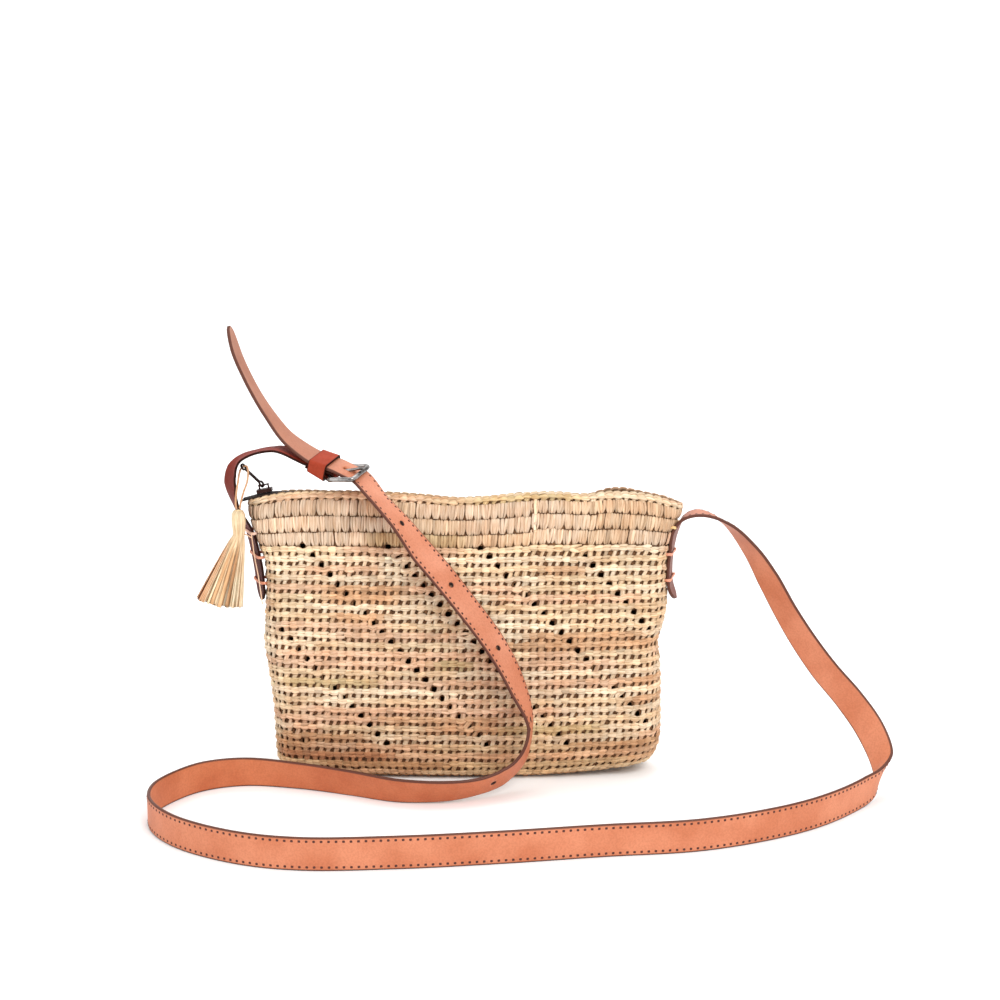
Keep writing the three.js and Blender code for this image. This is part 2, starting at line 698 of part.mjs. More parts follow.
function buckleProng() {
  const inner = BAR_RADIUS + SEAT_GAP;
  const outer = inner + PRONG_RING.wall;
  const { half } = PRONG_RING;
  const profile = [[inner, -half], [outer, -half], [outer, half], [inner, half], [inner, -half]];
  const ring = new THREE.LatheGeometry(profile.map(([r, y]) => new THREE.Vector2(r, y)), PRONG_RING.sides);
  const pin = loft(PRONG_ROUTE.map(({ x, z, radius }) => Array.from({ length: WIRE_SIDES }, (_, j) => {
    const a = (j / WIRE_SIDES) * Math.PI * 2;
    return new THREE.Vector3(x, radius * 1.15 * Math.cos(a), z + radius * Math.sin(a));
  })));
  return join([ring, pin]).applyMatrix4(FRAME_AXES);
}

function keeper() {
  const high = STRAP_OVER_HEEL + STRAP_THICK / 2 + LAYER_GAP;
  const half = STRAP_WIDTH / 2 + LAYER_GAP;
  const loop = (at, low, grow) => {
    const path = roundedPath(2 * (half + grow), high - low + 2 * grow, 1 + grow, 3);
    return path.map((p) => new THREE.Vector3(at, p.x - half - grow, p.y + (high + low) / 2));
  };
  const end = KEEPER_START + KEEPER_LENGTH;
  const rings = [
    loop(KEEPER_START, KEEPER_LOW.start, KEEPER_THICK),
    loop(end, KEEPER_LOW.end, KEEPER_THICK),
    loop(end, KEEPER_LOW.end, 0),
    loop(KEEPER_START, KEEPER_LOW.start, 0),
  ];
  return loft(rings, true).applyMatrix4(LAY_AXES);
}

// Zip

// Course of the zip along the mouth: height over the rim, and how far the front and back tapes reach.
const ZIP_COURSE = [
  { x: -139, lift: 1.2, front: 4.5, back: 4.5 },
  { x: -127, lift: 1.4, front: 5, back: 5 },
  { x: -117, lift: 0.4, front: 4.7, back: 4.7 },
  { x: -100, lift: -2.5, front: 5.6, back: 4.9 },
  { x: -80, lift: -4, front: 6.9, back: 6.1 },
  { x: -40, lift: -4, front: 7.7, back: 6.9 },
  { x: 0, lift: -4, front: 7.9, back: 6.8 },
  { x: 40, lift: -4, front: 7.7, back: 6.4 },
  { x: 80, lift: -4, front: 6.9, back: 6 },
  { x: 112, lift: -4, front: 5.9, back: 5.9 },
  { x: 124, lift: -4, front: 4.8, back: 4.8 },
];

function zipHeight(x) {
  return along(RIM, 'x', x, 'z') + along(ZIP_COURSE, 'x', x, 'lift');
}

function zipStrip(inner, outerOf, thick, { from, to }) {
  return loft(Array.from({ length: ZIP_STEPS + 1 }, (_, i) => {
    const x = from + ((to - from) * i) / ZIP_STEPS;
    const z = zipHeight(x);
    const outer = outerOf(x);
    const corners = [[inner, -1], [outer, -1], [outer, 1], [inner, 1]];
    return corners.map(([y, up]) => new THREE.Vector3(x, y, z + (up * thick) / 2));
  }));
}

function zipTape(side) {
  const inner = side * (ZIP_COIL_WIDTH / 2 + SEAT_GAP);
  const outerOf = (x) => side * along(ZIP_COURSE, 'x', x, side < 0 ? 'front' : 'back');
  return zipStrip(inner, outerOf, ZIP_TAPE_THICK, ZIP_TAPE);
}

function zipCoil() {
  return zipStrip(-ZIP_COIL_WIDTH / 2, () => ZIP_COIL_WIDTH / 2, ZIP_COIL_TALL, ZIP_COIL);
}

const SLIDER = {
  x: -125.8,
  long: 9.5,
  wide: 6,
  tall: 2.2,
  bridge: 0.9,
  span: 6.84,
  post: 2.85,
  rise: 2.4,
  sink: 0.7,
};
const SLIDER_BASE = zipHeight(SLIDER.x + SLIDER.long / 2) + ZIP_COIL_TALL / 2 + SEAT_GAP;
const SLIDER_CLIMB = zipHeight(SLIDER.x + SLIDER.long / 2) - zipHeight(SLIDER.x - SLIDER.long / 2);
const BRIDGE_Z = SLIDER_BASE + SLIDER.tall + SLIDER.rise;
const PULL_WAY = new THREE.Vector3(-0.586, -0.41, 0.697).normalize();
const PULL = { long: 21.5, ring: 2.35, shank: 0.8, thick: 1.2, eye: 1.65, eyeAt: 2.3, seat: -1.2 };

function zipSlider() {
  const { x, long, wide, tall, bridge, span, post, rise, sink } = SLIDER;
  const body = new THREE.BoxGeometry(long, wide, tall).translate(x, 0, SLIDER_BASE + tall / 2);
  const upright = (at) => new THREE.BoxGeometry(bridge, bridge, rise + 1).translate(at, 0, BRIDGE_Z - rise / 2);
  const top = new THREE.BoxGeometry(span, bridge, bridge).translate(x, 0, BRIDGE_Z);
  const upwards = join([body, upright(x - post), upright(x + post), top]);
  const seat = x + PULL.seat;
  upwards.translate(-seat, 0, -BRIDGE_Z).rotateY(-Math.atan2(SLIDER_CLIMB, long));
  return upwards.translate(seat, 0, BRIDGE_Z - sink);
}

// Thin flat shank with an eye round the slider's bridge and an eye for the strand.
function zipPull() {
  const necked = Math.asin(PULL.shank / PULL.ring);
  const end = (at, start) => Array.from({ length: 11 }, (_, i) => {
    const a = start + necked + (i / 10) * 2 * (Math.PI - necked);
    return new THREE.Vector2(at + PULL.ring * Math.cos(a), PULL.ring * Math.sin(a));
  });
  const shape = new THREE.Shape([...end(PULL.eyeAt, 0), ...end(PULL.long - PULL.eyeAt, Math.PI)]);
  const eye = (at) => new THREE.Path().absarc(at, 0, PULL.eye, 0, Math.PI * 2, true);
  shape.holes.push(eye(PULL.eyeAt), eye(PULL.long - PULL.eyeAt));
  const depth = PULL.thick;
  const flat = new THREE.ExtrudeGeometry(shape, { depth, bevelEnabled: false, curveSegments: 10, steps: 1 });
  const through = new THREE.Vector3(1, 0, 0).addScaledVector(PULL_WAY, -PULL_WAY.x).normalize();
  const side = new THREE.Vector3().crossVectors(through, PULL_WAY);
  const basis = new THREE.Matrix4().makeBasis(PULL_WAY, side, through);
  const seat = new THREE.Vector3(SLIDER.x + PULL.seat, 0, BRIDGE_Z).addScaledVector(PULL_WAY, -PULL.eyeAt);
  return flat.translate(0, 0, -depth / 2).applyMatrix4(basis.setPosition(seat));
}

// Tassel and its strand

function tasselCord() {
  const points = CORD_POINTS.map(([x, y, z]) => new THREE.Vector3(x, y, z));
  const section = new THREE.Shape(Array.from({ length: CORD_SIDES }, (_, i) => {
    const a = (i / CORD_SIDES) * Math.PI * 2;
    return new THREE.Vector2(CORD_RADIUS * Math.cos(a), CORD_RADIUS * Math.sin(a));
  }));
  const extrudePath = new THREE.CatmullRomCurve3(points);
  return new THREE.ExtrudeGeometry(section, { steps: CORD_STEPS, extrudePath, bevelEnabled: false });
}

function tassel() {
  const { x, y, top, neck, hem, lean, spread, deep } = TASSEL;
  const bound = TASSEL_HEAD.map(({ down, radius }) => new THREE.Vector2(radius, top - down));
  const profile = [new THREE.Vector2(0, top), ...bound, new THREE.Vector2(0, bound.at(-1).y)];
  const head = new THREE.LatheGeometry(profile, 12).rotateX(Math.PI / 2).translate(x, y, 0);
  const locks = Array.from({ length: TASSEL_LOCKS }, (_, i) => {
    const a = ((i + 0.5) / TASSEL_LOCKS) * Math.PI * 2;
    const tip = hem + 2.2 * Math.sin(3 * a) + 4 * Math.cos(a) * -0.5;
    return loft(LOCK_STEPS.map((t) => {
      const open = 0.16 + 0.84 * t ** 0.85;
      const cx = x + lean * t + spread * open * Math.cos(a);
      const cy = y + deep * open * Math.sin(a);
      const cz = neck + 1 + (tip - neck - 1) * t;
      const wide = 1.5 + 2.3 * open;
      const thin = 1.1 + 0.5 * open;
      const corners = [[wide, 0], [0, thin], [-wide, 0], [0, -thin]];
      return corners.map(([s, n]) => new THREE.Vector3(
        cx - s * Math.sin(a) + n * Math.cos(a),
        cy + s * Math.cos(a) + n * Math.sin(a),
        cz,
      ));
    }));
  });
  const core = loft(TASSEL_CORE.map(({ down, share }) => Array.from({ length: 10 }, (_, j) => {
    const a = (j / 10) * Math.PI * 2;
    const t = down / (neck - hem);
    return new THREE.Vector3(
      x + lean * t + spread * share * Math.cos(a),
      y + deep * share * Math.sin(a),
      neck - down,
    );
  })));
  return join([head, core, ...locks]);
}

// Assembly

const bag = new THREE.Group();
bag.add(
  piece('bag_body', bagBody(), COLOURS.raffia),
  piece('zip_tape_front', zipTape(-1), COLOURS.zip),
  piece('zip_tape_back', zipTape(1), COLOURS.zip),
  piece('zip_coil', zipCoil(), COLOURS.zip),
  piece('zip_slider', zipSlider(), COLOURS.zip),
  piece('zip_pull', zipPull(), COLOURS.zip),
  piece('tassel_cord', tasselCord(), COLOURS.tassel),
  piece('tassel', tassel(), COLOURS.tassel),
  piece('strap_long', strapLong(), COLOURS.leather),
  piece('strap_short', strapShort(), COLOURS.darkLeather),
  piece('keeper', keeper(), COLOURS.darkLeather),
  piece('buckle_frame', buckleFrame(), COLOURS.metal),
  piece('buckle_prong', buckleProng(), COLOURS.metal),
);

export default bag;
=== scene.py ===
"""Looks of the raffia crossbody bag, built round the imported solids. Tables are in millimetres."""
import json
import math

import bpy
import numpy as np
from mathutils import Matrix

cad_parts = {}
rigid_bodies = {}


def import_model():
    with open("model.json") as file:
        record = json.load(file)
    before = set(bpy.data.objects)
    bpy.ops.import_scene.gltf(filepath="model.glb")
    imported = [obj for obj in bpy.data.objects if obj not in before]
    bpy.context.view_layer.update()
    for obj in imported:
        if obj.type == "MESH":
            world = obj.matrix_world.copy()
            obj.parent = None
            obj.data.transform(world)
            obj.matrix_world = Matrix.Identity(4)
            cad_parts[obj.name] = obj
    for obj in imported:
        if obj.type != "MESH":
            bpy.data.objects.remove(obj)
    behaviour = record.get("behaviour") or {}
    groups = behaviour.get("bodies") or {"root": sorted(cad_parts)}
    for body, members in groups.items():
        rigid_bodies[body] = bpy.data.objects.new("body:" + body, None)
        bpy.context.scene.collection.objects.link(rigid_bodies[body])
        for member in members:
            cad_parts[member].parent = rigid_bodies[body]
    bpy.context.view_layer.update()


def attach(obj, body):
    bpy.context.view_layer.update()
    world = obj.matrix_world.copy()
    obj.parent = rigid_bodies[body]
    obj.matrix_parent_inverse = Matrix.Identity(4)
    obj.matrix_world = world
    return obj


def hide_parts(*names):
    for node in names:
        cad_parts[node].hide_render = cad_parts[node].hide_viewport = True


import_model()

MM = 0.001
rng = np.random.default_rng(29)

# Camera of the photograph.
CAMERA_AT = (0.0215, -1.0, 0.35)
CAMERA_PITCH = 80
CAMERA_LENS = 58.6

# Strand that carries the tassel, from its head up through the pull's eye and back.
CORD_RADIUS = 0.65
CORD_POINTS = [
    (-140.6, -15.8, 171),
    (-141, -15, 175),
    (-140.6, -13, 181),
    (-139.9, -10.4, 187),
    (-139.4, -8.2, 191.5),
    (-138.5, -6.7, 194.4),
    (-137, -7, 195.8),
    (-134.8, -8, 196.2),
    (-133.7, -9.4, 192.8),
    (-134.2, -11, 187),
    (-136.2, -13.2, 181),
    (-137.8, -14.8, 175),
    (-138.5, -15.4, 171),
]

# Pouch outline at each height: reach to the left and right, half depth in the middle and at the ends.
BODY_HEIGHT = 178
BODY_COLUMNS = ("z", "left", "right", "deep", "ends", "round")
BODY_SECTIONS = [
    (0, 112, 111, 19, 13, 14),
    (2.5, 117, 116, 23.5, 17, 17),
    (8, 120, 120, 26.5, 20, 19),
    (20, 121, 123, 28, 21.5, 19),
    (45, 122, 123, 28.5, 21.5, 18),
    (70, 125, 122.4, 27.5, 20.5, 17),
    (85, 127, 121, 26, 19.5, 16),
    (95, 126.2, 124, 25, 19, 15),
    (110, 125.3, 126, 23.5, 18, 14),
    (136, 125.4, 126.3, 19.9, 15.9, 12),
    (150, 130, 128.3, 17.1, 14.1, 11),
    (164, 134, 131.8, 14, 11.7, 9.8),
    (172, 135, 134.8, 11.6, 9.8, 9),
    (178, 135, 135, 9.5, 8, 8.5),
]
# Height of the rim along the mouth, how far its back sits under its front, and the curled right corner.
RIM = [
    (-140, 172.5),
    (-112, 178.5),
    (-78, 179.5),
    (-40, 178.1),
    (-8, 175.8),
    (12, 176.6),
    (38, 179),
    (59, 179.2),
    (74, 178),
    (92, 179.6),
    (115, 177.4),
    (140, 169.5),
]
BACK_RIM = [
    (-140, 0),
    (-118, 0.5),
    (-90, 2),
    (-65, 2.2),
    (-45, 2),
    (-22, 2.2),
    (-5, 2.5),
    (40, 3),
    (75, 2.8),
    (95, 0.2),
    (115, 1.2),
    (128, 0.4),
    (140, 0),
]
CORNER = {"from": 45, "reach": 70, "lift": 5, "curl": 1.3, "fades": 45}
RIM_BLEND_START = 110
DENTS = [
    {"x": 118, "z": 89, "wide": 15, "tall": 5, "deep": 4},
    {"x": -118, "z": 91, "wide": 13, "tall": 5, "deep": 2.5},
]

# Crochet: rows from the rim down, and the eyelet lines by first stitch and stitches gained a row.
STITCHES = 110
STITCH = 5.0
RIM_ROW = 3.8
TALL_ROWS = (10.1, 9.7)
ROW = 5.9
SEAM = 8.4
EYELET_LINES = [
    (-43.2, 1.08),
    (-32.7, 1.08),
    (-20.1, 1.08),
    (-9.5, 1.06),
    (1.9, 1.11),
    (14, 1),
]
BACK_LINES = [(35, 1.06), (46, 1.06), (57, 1.06)]
FRONT_STITCHES = 24
EYELET_ROWS = 22
EYELET_TOP = 147
EYELET_SINK = 0.3
EYELET_PUSH = (2.6, 2.3)
EYELET_PULL = 6.5
# Layer behind the stitches: how deep it lies, how thick it is and half the width of its holes.
GROUND_DEPTH = 1.15
GROUND_THICK = 0.9
GROUND_HOLE = 1.6

# Zip along the mouth: height against the rim, and reach of the front and back tapes.
ZIP_COURSE = [
    (-139, 1.2, 4.5, 4.5),
    (-127, 1.4, 5, 5),
    (-117, 0.4, 4.7, 4.7),
    (-100, -2.5, 5.6, 4.9),
    (-80, -4, 6.9, 6.1),
    (-40, -4, 7.7, 6.9),
    (0, -4, 7.9, 6.8),
    (40, -4, 7.7, 6.4),
    (80, -4, 6.9, 6),
    (112, -4, 5.9, 5.9),
    (124, -4, 4.8, 4.8),
]
TAPE_INNER = 1.9
TAPE_THICK = 1.2
TOOTH_PITCH = 1.25
TOOTH_RADIUS = 0.34
METAL_BEVEL = 0.22
TAPE_SPAN = (-139, 124)
COIL_SPAN = (-137, 122)

# Buckle: heel bar place and axes.
BUCKLE_AT = np.array((-79.6, -9.0, 192.5))
BUCKLE_ALONG = np.array((0.945, -0.36, 0.04))
BUCKLE_NEAR = np.array((-0.35, -0.92, -0.2))
LAY_TURN = math.radians(20)
FRAME_LENGTH = 17
FRAME_WIDTH = 24.6
FRAME_CORNER = 3.2
BAR_RADIUS = 1.5
SEAT_GAP = 0.3
LAYER_GAP = 0.35
STRAP_WIDTH = 19
STRAP_THICK = 2
STRAP_EDGE = 0.7
SHORT_THICK = 1.5
KEEPER_START = -15
KEEPER_LENGTH = 12
KEEPER_THICK = 1.1
KEEPER_LOW = (-0.4, -2.6)
FOLD_RADIUS = BAR_RADIUS + SEAT_GAP + SHORT_THICK / 2
STRAP_OVER_HEEL = FOLD_RADIUS + SHORT_THICK / 2 + LAYER_GAP + STRAP_THICK / 2
STRAP_UNDER_END = BAR_RADIUS + SEAT_GAP + STRAP_THICK / 2
HOLE_RADIUS = 1.6
HOLE_PITCH = 48
HOLE_COUNT = 6
PRONG_ROUTE = [(2.5, 0.2), (6, 1.1), (12, 2), (17, 2.9), (19.6, 2.4)]
PRONG_RADIUS = 1.1

# Long strap: middle line and the way across it, from the right tab round the ground to the buckle.
LONG_TO_BUCKLE = [
    (132.2, 0, 111, -0.21, -0.98, 0),
    (128.8, 0, 119, -0.21, -0.98, 0),
    (128.1, 0, 131, -0.21, -0.98, 0),
    (129.2, 0, 143, -0.21, -0.98, 0),
    (131.2, 0, 154, -0.3, -0.95, 0),
    (136.8, 0, 162.5, -0.22, -0.98, 0),
    (146.4, -0.5, 165.5, -0.05, -1, 0),
    (163, -2, 159, 0.13, -0.98, 0.1),
    (178.5, -4, 142, 0.36, -0.89, 0.27),
    (189.5, -7, 124, 0.55, -0.75, 0.36),
    (199.6, -10, 105.5, 0.6, -0.7, 0.36),
    (211, -13, 87, 0.66, -0.6, 0.42),
    (224, -17, 69, 0.71, -0.5, 0.48),
    (239.5, -22, 51, 0.7, -0.42, 0.52),
    (251, -31, 34.5, 0.64, -0.3, 0.62),
    (256, -44, 19.5, 0.5, -0.3, 0.78),
    (250, -60, 12, 0.2, -0.1, 0.97),
    (240, -72, 9.8, 0.05, 0, 1),
    (210, -102, 9.5, 0, 0, 1),
    (178, -123, 9.5, 0, 0, 1),
    (133, -141, 9.5, 0, 0, 1),
    (77, -149.5, 9.5, 0, 0, 1),
    (21, -159, 9.5, 0, 0, 1),
    (-33, -166, 9.5, 0, 0, 1),
    (-87, -168, 9.5, 0, 0, 1),
    (-123, -159, 9.5, 0, 0, 1),
    (-161, -135, 9.5, 0, 0, 1),
    (-180, -108, 9.5, 0, 0, 1),
    (-183, -84, 9.5, 0, 0, 1),
    (-175, -63, 9.5, 0, 0, 1),
    (-160, -45, 9.5, 0, 0, 1),
    (-136, -37, 9.5, 0, -0.1, 1),
    (-102, -44, 9.5, 0, -0.27, 0.96),
    (-70, -55.5, 9, 0, -0.34, 0.94),
    (-39, -69, 9, 0, -0.45, 0.89),
    (-9, -70, 9, 0, -0.57, 0.82),
    (9, -64.5, 10, -0.15, -0.72, 0.68),
    (23.5, -56.5, 13.2, -0.31, -0.79, 0.52),
    (33.4, -51.5, 20.5, -0.37, -0.91, 0.21),
    (38, -49, 30, -0.2, -0.98, 0.05),
    (39.8, -46, 40, -0.1, -0.99, 0),
    (38.6, -44, 48.5, -0.19, -0.98, -0.04),
    (32.6, -41, 63.5, -0.42, -0.89, -0.17),
    (25.3, -38.5, 79, -0.5, -0.83, -0.25),
    (15.4, -36.5, 95, -0.51, -0.79, -0.34),
    (3.8, -34.5, 110.5, -0.49, -0.79, -0.37),
    (-14, -31.5, 133, -0.5, -0.77, -0.41),
    (-26, -29.5, 147, -0.5, -0.77, -0.4),
    (-39.3, -28, 164.5, -0.3, -0.91, -0.28),
    (-51.4, -24.5, 177.5, -0.22, -0.95, -0.18),
]
LONG_TONGUE = [
    (-111, 3.5, 213, -0.2, -0.97, -0.1),
    (-121.5, 7.5, 225.5, -0.12, -0.99, -0.06),
    (-129.8, 10, 238, -0.08, -0.99, -0.04),
    (-136.4, 11.5, 250.5, -0.07, -0.99, -0.03),
    (-142, 12.5, 263.5, -0.07, -0.99, -0.03),
    (-146.8, 13, 281, -0.07, -0.99, -0.03),
]
# Thread along the strap: distance from the edge, pitch, and half the width and height of a stitch.
THREAD = {"inset": 2.2, "pitch": 4, "wide": 0.68, "tall": 0.24}
TONGUE_TIP = 18
TAB_TIP = 9

# Short strap from its tab on the left side, and the tail folded back under it.
SHORT_STATIONS = [
    (-128.6, 0, 110, -0.36, 0.93, 0),
    (-129, 0, 118, -0.38, 0.92, 0),
    (-130.6, 0, 134, -0.42, 0.91, 0),
    (-135.4, 0, 155, -0.4, 0.92, 0),
    (-143, -0.5, 170, -0.32, 0.94, 0),
    (-146.2, -1.5, 183.4, -0.5, 0.86, 0.05),
    (-144.6, -2.5, 193, -0.4, 0.9, 0.1),
    (-139.5, -3, 200, -0.14, 0.98, 0.06),
    (-130, -3, 204.2, 0, 1, 0),
    (-118, -2.5, 206, 0.06, 0.99, 0),
    (-107, -1, 203.4, 0.22, 0.95, 0.1),
]
FOLDED_TAIL = [(-3, 2.2), (-6, 1.1), (-9, 0.4), (-12, 0), (-17, 0)]

# Tassel: heights of its stages and the lean of its skirt.
TASSEL = {
    "x": -139.5,
    "y": -15.5,
    "top": 170.5,
    "neck": 154.5,
    "hem": 112,
    "lean": -13,
    "spread": 14,
    "deep": 9.5,
}
TASSEL_HEAD = [(0, 0.9), (1.2, 3.4), (5, 4.1), (10, 4), (16, 3.1), (19, 3)]
TASSEL_STRIPS = 300


def linear(red, green, blue):
    """Linear light of a colour given in 0-255 display steps."""
    share = np.array((red, green, blue)) / 255
    return np.where(share <= 0.04045, share / 12.92, ((share + 0.055) / 1.055) ** 2.4)


# Raffia colours and how common each is.
RAFFIA_TONES = [
    {"colour": linear(238, 218, 190), "share": 0.36},
    {"colour": linear(234, 208, 173), "share": 0.27},
    {"colour": linear(230, 194, 163), "share": 0.18},
    {"colour": linear(216, 176, 138), "share": 0.1},
    {"colour": linear(214, 190, 146), "share": 0.06},
    {"colour": linear(203, 152, 116), "share": 0.03},
]
# The border is duller and pinker than the rows under it.
BORDER_TONE = np.array((0.88, 0.82, 0.82))
# Painted light and shade down the long strap by station, against the front of the ground loop: the tab and
# the back of the loop darkened as painted shade, the rising strand paler as painted light, the tongue darker.
STRAP_LIGHT_AND_SHADE = [
    (0, 0.3, 0.2, 0.2),
    (4, 0.36, 0.26, 0.26),
    (6, 0.8, 0.82, 0.9),
    (9, 1, 0.98, 1),
    (15, 1, 1, 1),
    (27, 1, 1, 1),
    (30, 0.9, 0.77, 0.6),
    (36, 0.93, 0.78, 0.62),
    (40, 0.93, 0.88, 0.9),
    (43, 0.97, 1.09, 1.28),
    (50, 0.97, 1.09, 1.28),
    (58, 0.64, 0.7, 0.78),
    (64, 0.62, 0.72, 0.84),
]
# Tint down the short strap by station, against the keeper: partly the strap's own darker leather, partly
# painted shade on the tab and the arch; lighter near the keeper as painted light, darker again round the fold
# and tail.
SHORT_TINT_AND_SHADE = [
    (0, 0.26, 0.22, 0.26),
    (3, 0.28, 0.23, 0.27),
    (5, 0.5, 0.38, 0.4),
    (8, 0.6, 0.46, 0.48),
    (11, 0.8, 0.68, 0.7),
    (28, 0.5, 0.45, 0.45),
]
# Strip colours from the left of the skirt to the right; the left thirds are darker as painted shade,
# and the second and fourth tones of each third are painted shadow between strips.
TASSEL_TONES = [
    [linear(236, 192, 152), linear(190, 128, 84), linear(244, 210, 172), linear(150, 88, 50)],
    [linear(248, 220, 180), linear(226, 184, 138), linear(250, 230, 194), linear(166, 108, 66)],
    [linear(252, 240, 212), linear(246, 226, 190), linear(250, 234, 204), linear(196, 152, 110)],
]

# Raffia that binds the tabs to the pouch: side, height and colour, and the loose strands beside them.
LACINGS = [
    (-1, 154, linear(244, 206, 188)),
    (-1, 139, linear(240, 172, 148)),
    (-1, 122.5, linear(238, 164, 134)),
    (1, 158, linear(236, 200, 142)),
    (1, 141, linear(236, 172, 150)),
    (1, 124.5, linear(240, 172, 146)),
]
TAB_ACROSS = {1: (-0.24, -0.97, 0), -1: (-0.4, 0.92, 0)}
LOOSE_STRANDS = [
    [(-132.6, -10.6, 155), (-131, -11.2, 141), (-128.4, -12.2, 126), (-126.4, -13.2, 110)],
    [(-138.6, -11.4, 156.5), (-136.6, -11.8, 154.5), (-134.6, -11.6, 153.4), (-132.4, -10.8, 151.8)],
]


def make_camera():
    data = bpy.data.cameras.new("camera")
    data.lens = CAMERA_LENS
    data.sensor_width = 36
    camera = bpy.data.objects.new("camera", data)
    camera.location = CAMERA_AT
    camera.rotation_euler = (math.radians(CAMERA_PITCH), 0, 0)
    bpy.context.scene.collection.objects.link(camera)
    bpy.context.scene.camera = camera


def unit(vectors):
    return vectors / np.maximum(np.linalg.norm(vectors, axis=-1, keepdims=True), 1e-9)


def turns(count):
    """Angles at even steps round a circle."""
    return np.arange(count) / count * 2 * math.pi


def stacked(*columns):
    """Arrays of matching shapes set side by side along a new last axis."""
    return np.stack(np.broadcast_arrays(*columns), -1)


def run_along(path):
    """Length along a path at each of its points."""
    return np.concatenate([[0], np.cumsum(np.linalg.norm(np.diff(path, axis=0), axis=1))])


def read_rows(at, places, rows):
    """Rows of three values, read between the places where they stand."""
    return np.stack([np.interp(at, places, rows[:, i]) for i in range(3)], 1)


def smooth_through(table, column, at):
    """Smooth curve through a table's rows, read at the given places of its first column."""
    rows = np.array(table, float)
    xs, ys = rows[:, 0], rows[:, column]
    slopes = np.empty_like(ys)
    slopes[1:-1] = (ys[2:] - ys[:-2]) / (xs[2:] - xs[:-2])
    slopes[0] = (ys[1] - ys[0]) / (xs[1] - xs[0])
    slopes[-1] = (ys[-1] - ys[-2]) / (xs[-1] - xs[-2])
    at = np.clip(at, xs[0], xs[-1])
    i = np.clip(np.searchsorted(xs, at, side="right") - 1, 0, len(xs) - 2)
    span = xs[i + 1] - xs[i]
    t = (at - xs[i]) / span
    rise = t * t * (3 - 2 * t)
    bend = t * (1 - t) * span * ((1 - t) * slopes[i] - t * slopes[i + 1])
    return ys[i] * (1 - rise) + ys[i + 1] * rise + bend


def curve_through(points, steps=24):
    """Dense points on a smooth curve through the given ones, with each one's place in the list."""
    p = np.array(points, float)
    p = np.vstack([2 * p[0] - p[1], p, 2 * p[-1] - p[-2]])
    places, marks = [], []
    for i in range(1, len(p) - 2):
        x0, x1, x2, x3 = p[i - 1:i + 3]
        d0, d1, d2 = (max(np.linalg.norm(b - a) ** 0.5, 1e-2) for a, b in ((x0, x1), (x1, x2), (x2, x3)))
        t1 = ((x1 - x0) / d0 - (x2 - x0) / (d0 + d1) + (x2 - x1) / d1) * d1
        t2 = ((x2 - x1) / d1 - (x3 - x1) / (d1 + d2) + (x3 - x2) / d2) * d1
        w = np.linspace(0, 1, steps, endpoint=False)[:, None]
        places.append(x1 + t1 * w + (3 * (x2 - x1) - 2 * t1 - t2) * w**2 + (2 * (x1 - x2) + t1 + t2) * w**3)
        marks.append(i - 1 + w[:, 0])
    return np.vstack(places + [p[-2][None]]), np.concatenate(marks + [[len(points) - 1.0]])


class Ribbon:
    """Middle line of a strap at even steps, with the way along it, across it and out of its face."""

    def __init__(self, stations, step):
        stations = np.array(stations, float)
        places, marks = curve_through(stations[:, :3])
        lengths = run_along(places)
        self.length = lengths[-1]
        self.at = np.linspace(0, self.length, int(self.length / step) + 1)
        self.mid = read_rows(self.at, lengths, places)
        self.way = unit(np.gradient(self.mid, axis=0))
        self.marks = np.interp(self.at, lengths, marks)
        side = read_rows(self.marks, np.arange(len(stations)), stations[:, 3:])
        self.across = unit(side - self.way * np.sum(side * self.way, 1, keepdims=True))
        self.face = np.cross(self.way, self.across)

    def read(self, at):
        """Middle, way, across and face at places along the strap."""
        ways = (unit(read_rows(at, self.at, rows)) for rows in (self.way, self.across, self.face))
        return read_rows(at, self.at, self.mid), *ways


def buckle_axes(turn):
    """Ways along, across and out of the leather at the heel bar."""
    along = unit(BUCKLE_ALONG)
    out = unit(np.cross(BUCKLE_NEAR, along))
    across = np.cross(along, out)
    way = math.cos(turn) * along - math.sin(turn) * out
    return way, across, np.cross(across, way)


FRAME_AXES = buckle_axes(0)
LAY_AXES = buckle_axes(LAY_TURN)


def buckle_station(axes, along, out):
    way, across, normal = axes
    return (*(BUCKLE_AT + way * along + normal * out), *across)


def in_buckle(axes, points):
    """Points given along, across and out of the buckle, in the row frame."""
    way, across, normal = axes
    points = np.asarray(points, float)
    return BUCKLE_AT + points[..., :1] * way - points[..., 1:2] * across + points[..., 2:] * normal


def mesh_of(name, points, quads, tint=None, lay=None):
    """Mesh of quads with points in millimetres, and colours and strand places on them."""
    quads = np.asarray(quads, np.int32)
    mesh = bpy.data.meshes.new(name)
    mesh.vertices.add(len(points))
    mesh.vertices.foreach_set("co", (np.asarray(points) * MM).astype(np.float32).ravel())
    mesh.loops.add(quads.size)
    mesh.loops.foreach_set("vertex_index", quads.ravel())
    mesh.polygons.add(len(quads))
    mesh.polygons.foreach_set("loop_start", np.arange(0, quads.size, 4, dtype=np.int32))
    mesh.update(calc_edges=True)
    mesh.polygons.foreach_set("use_smooth", np.ones(len(quads), bool))
    if tint is not None:
        rgba = np.concatenate([tint, np.ones((len(tint), 1))], 1).astype(np.float32)
        mesh.attributes.new("tint", "FLOAT_COLOR", "POINT").data.foreach_set("color", rgba.ravel())
    if lay is not None:
        flat = np.asarray(lay, np.float32).ravel()
        mesh.attributes.new("lay", "FLOAT_VECTOR", "POINT").data.foreach_set("vector", flat)
    return mesh


def piece(name, mesh, material, slot, *nodes):
    """A shown piece of the bag that stands for the named solids."""
    obj = bpy.data.objects.new(name, mesh)
    bpy.context.scene.collection.objects.link(obj)
    mesh.materials.append(material)
    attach(obj, "root")
    if nodes:
        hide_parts(*nodes)
    return obj


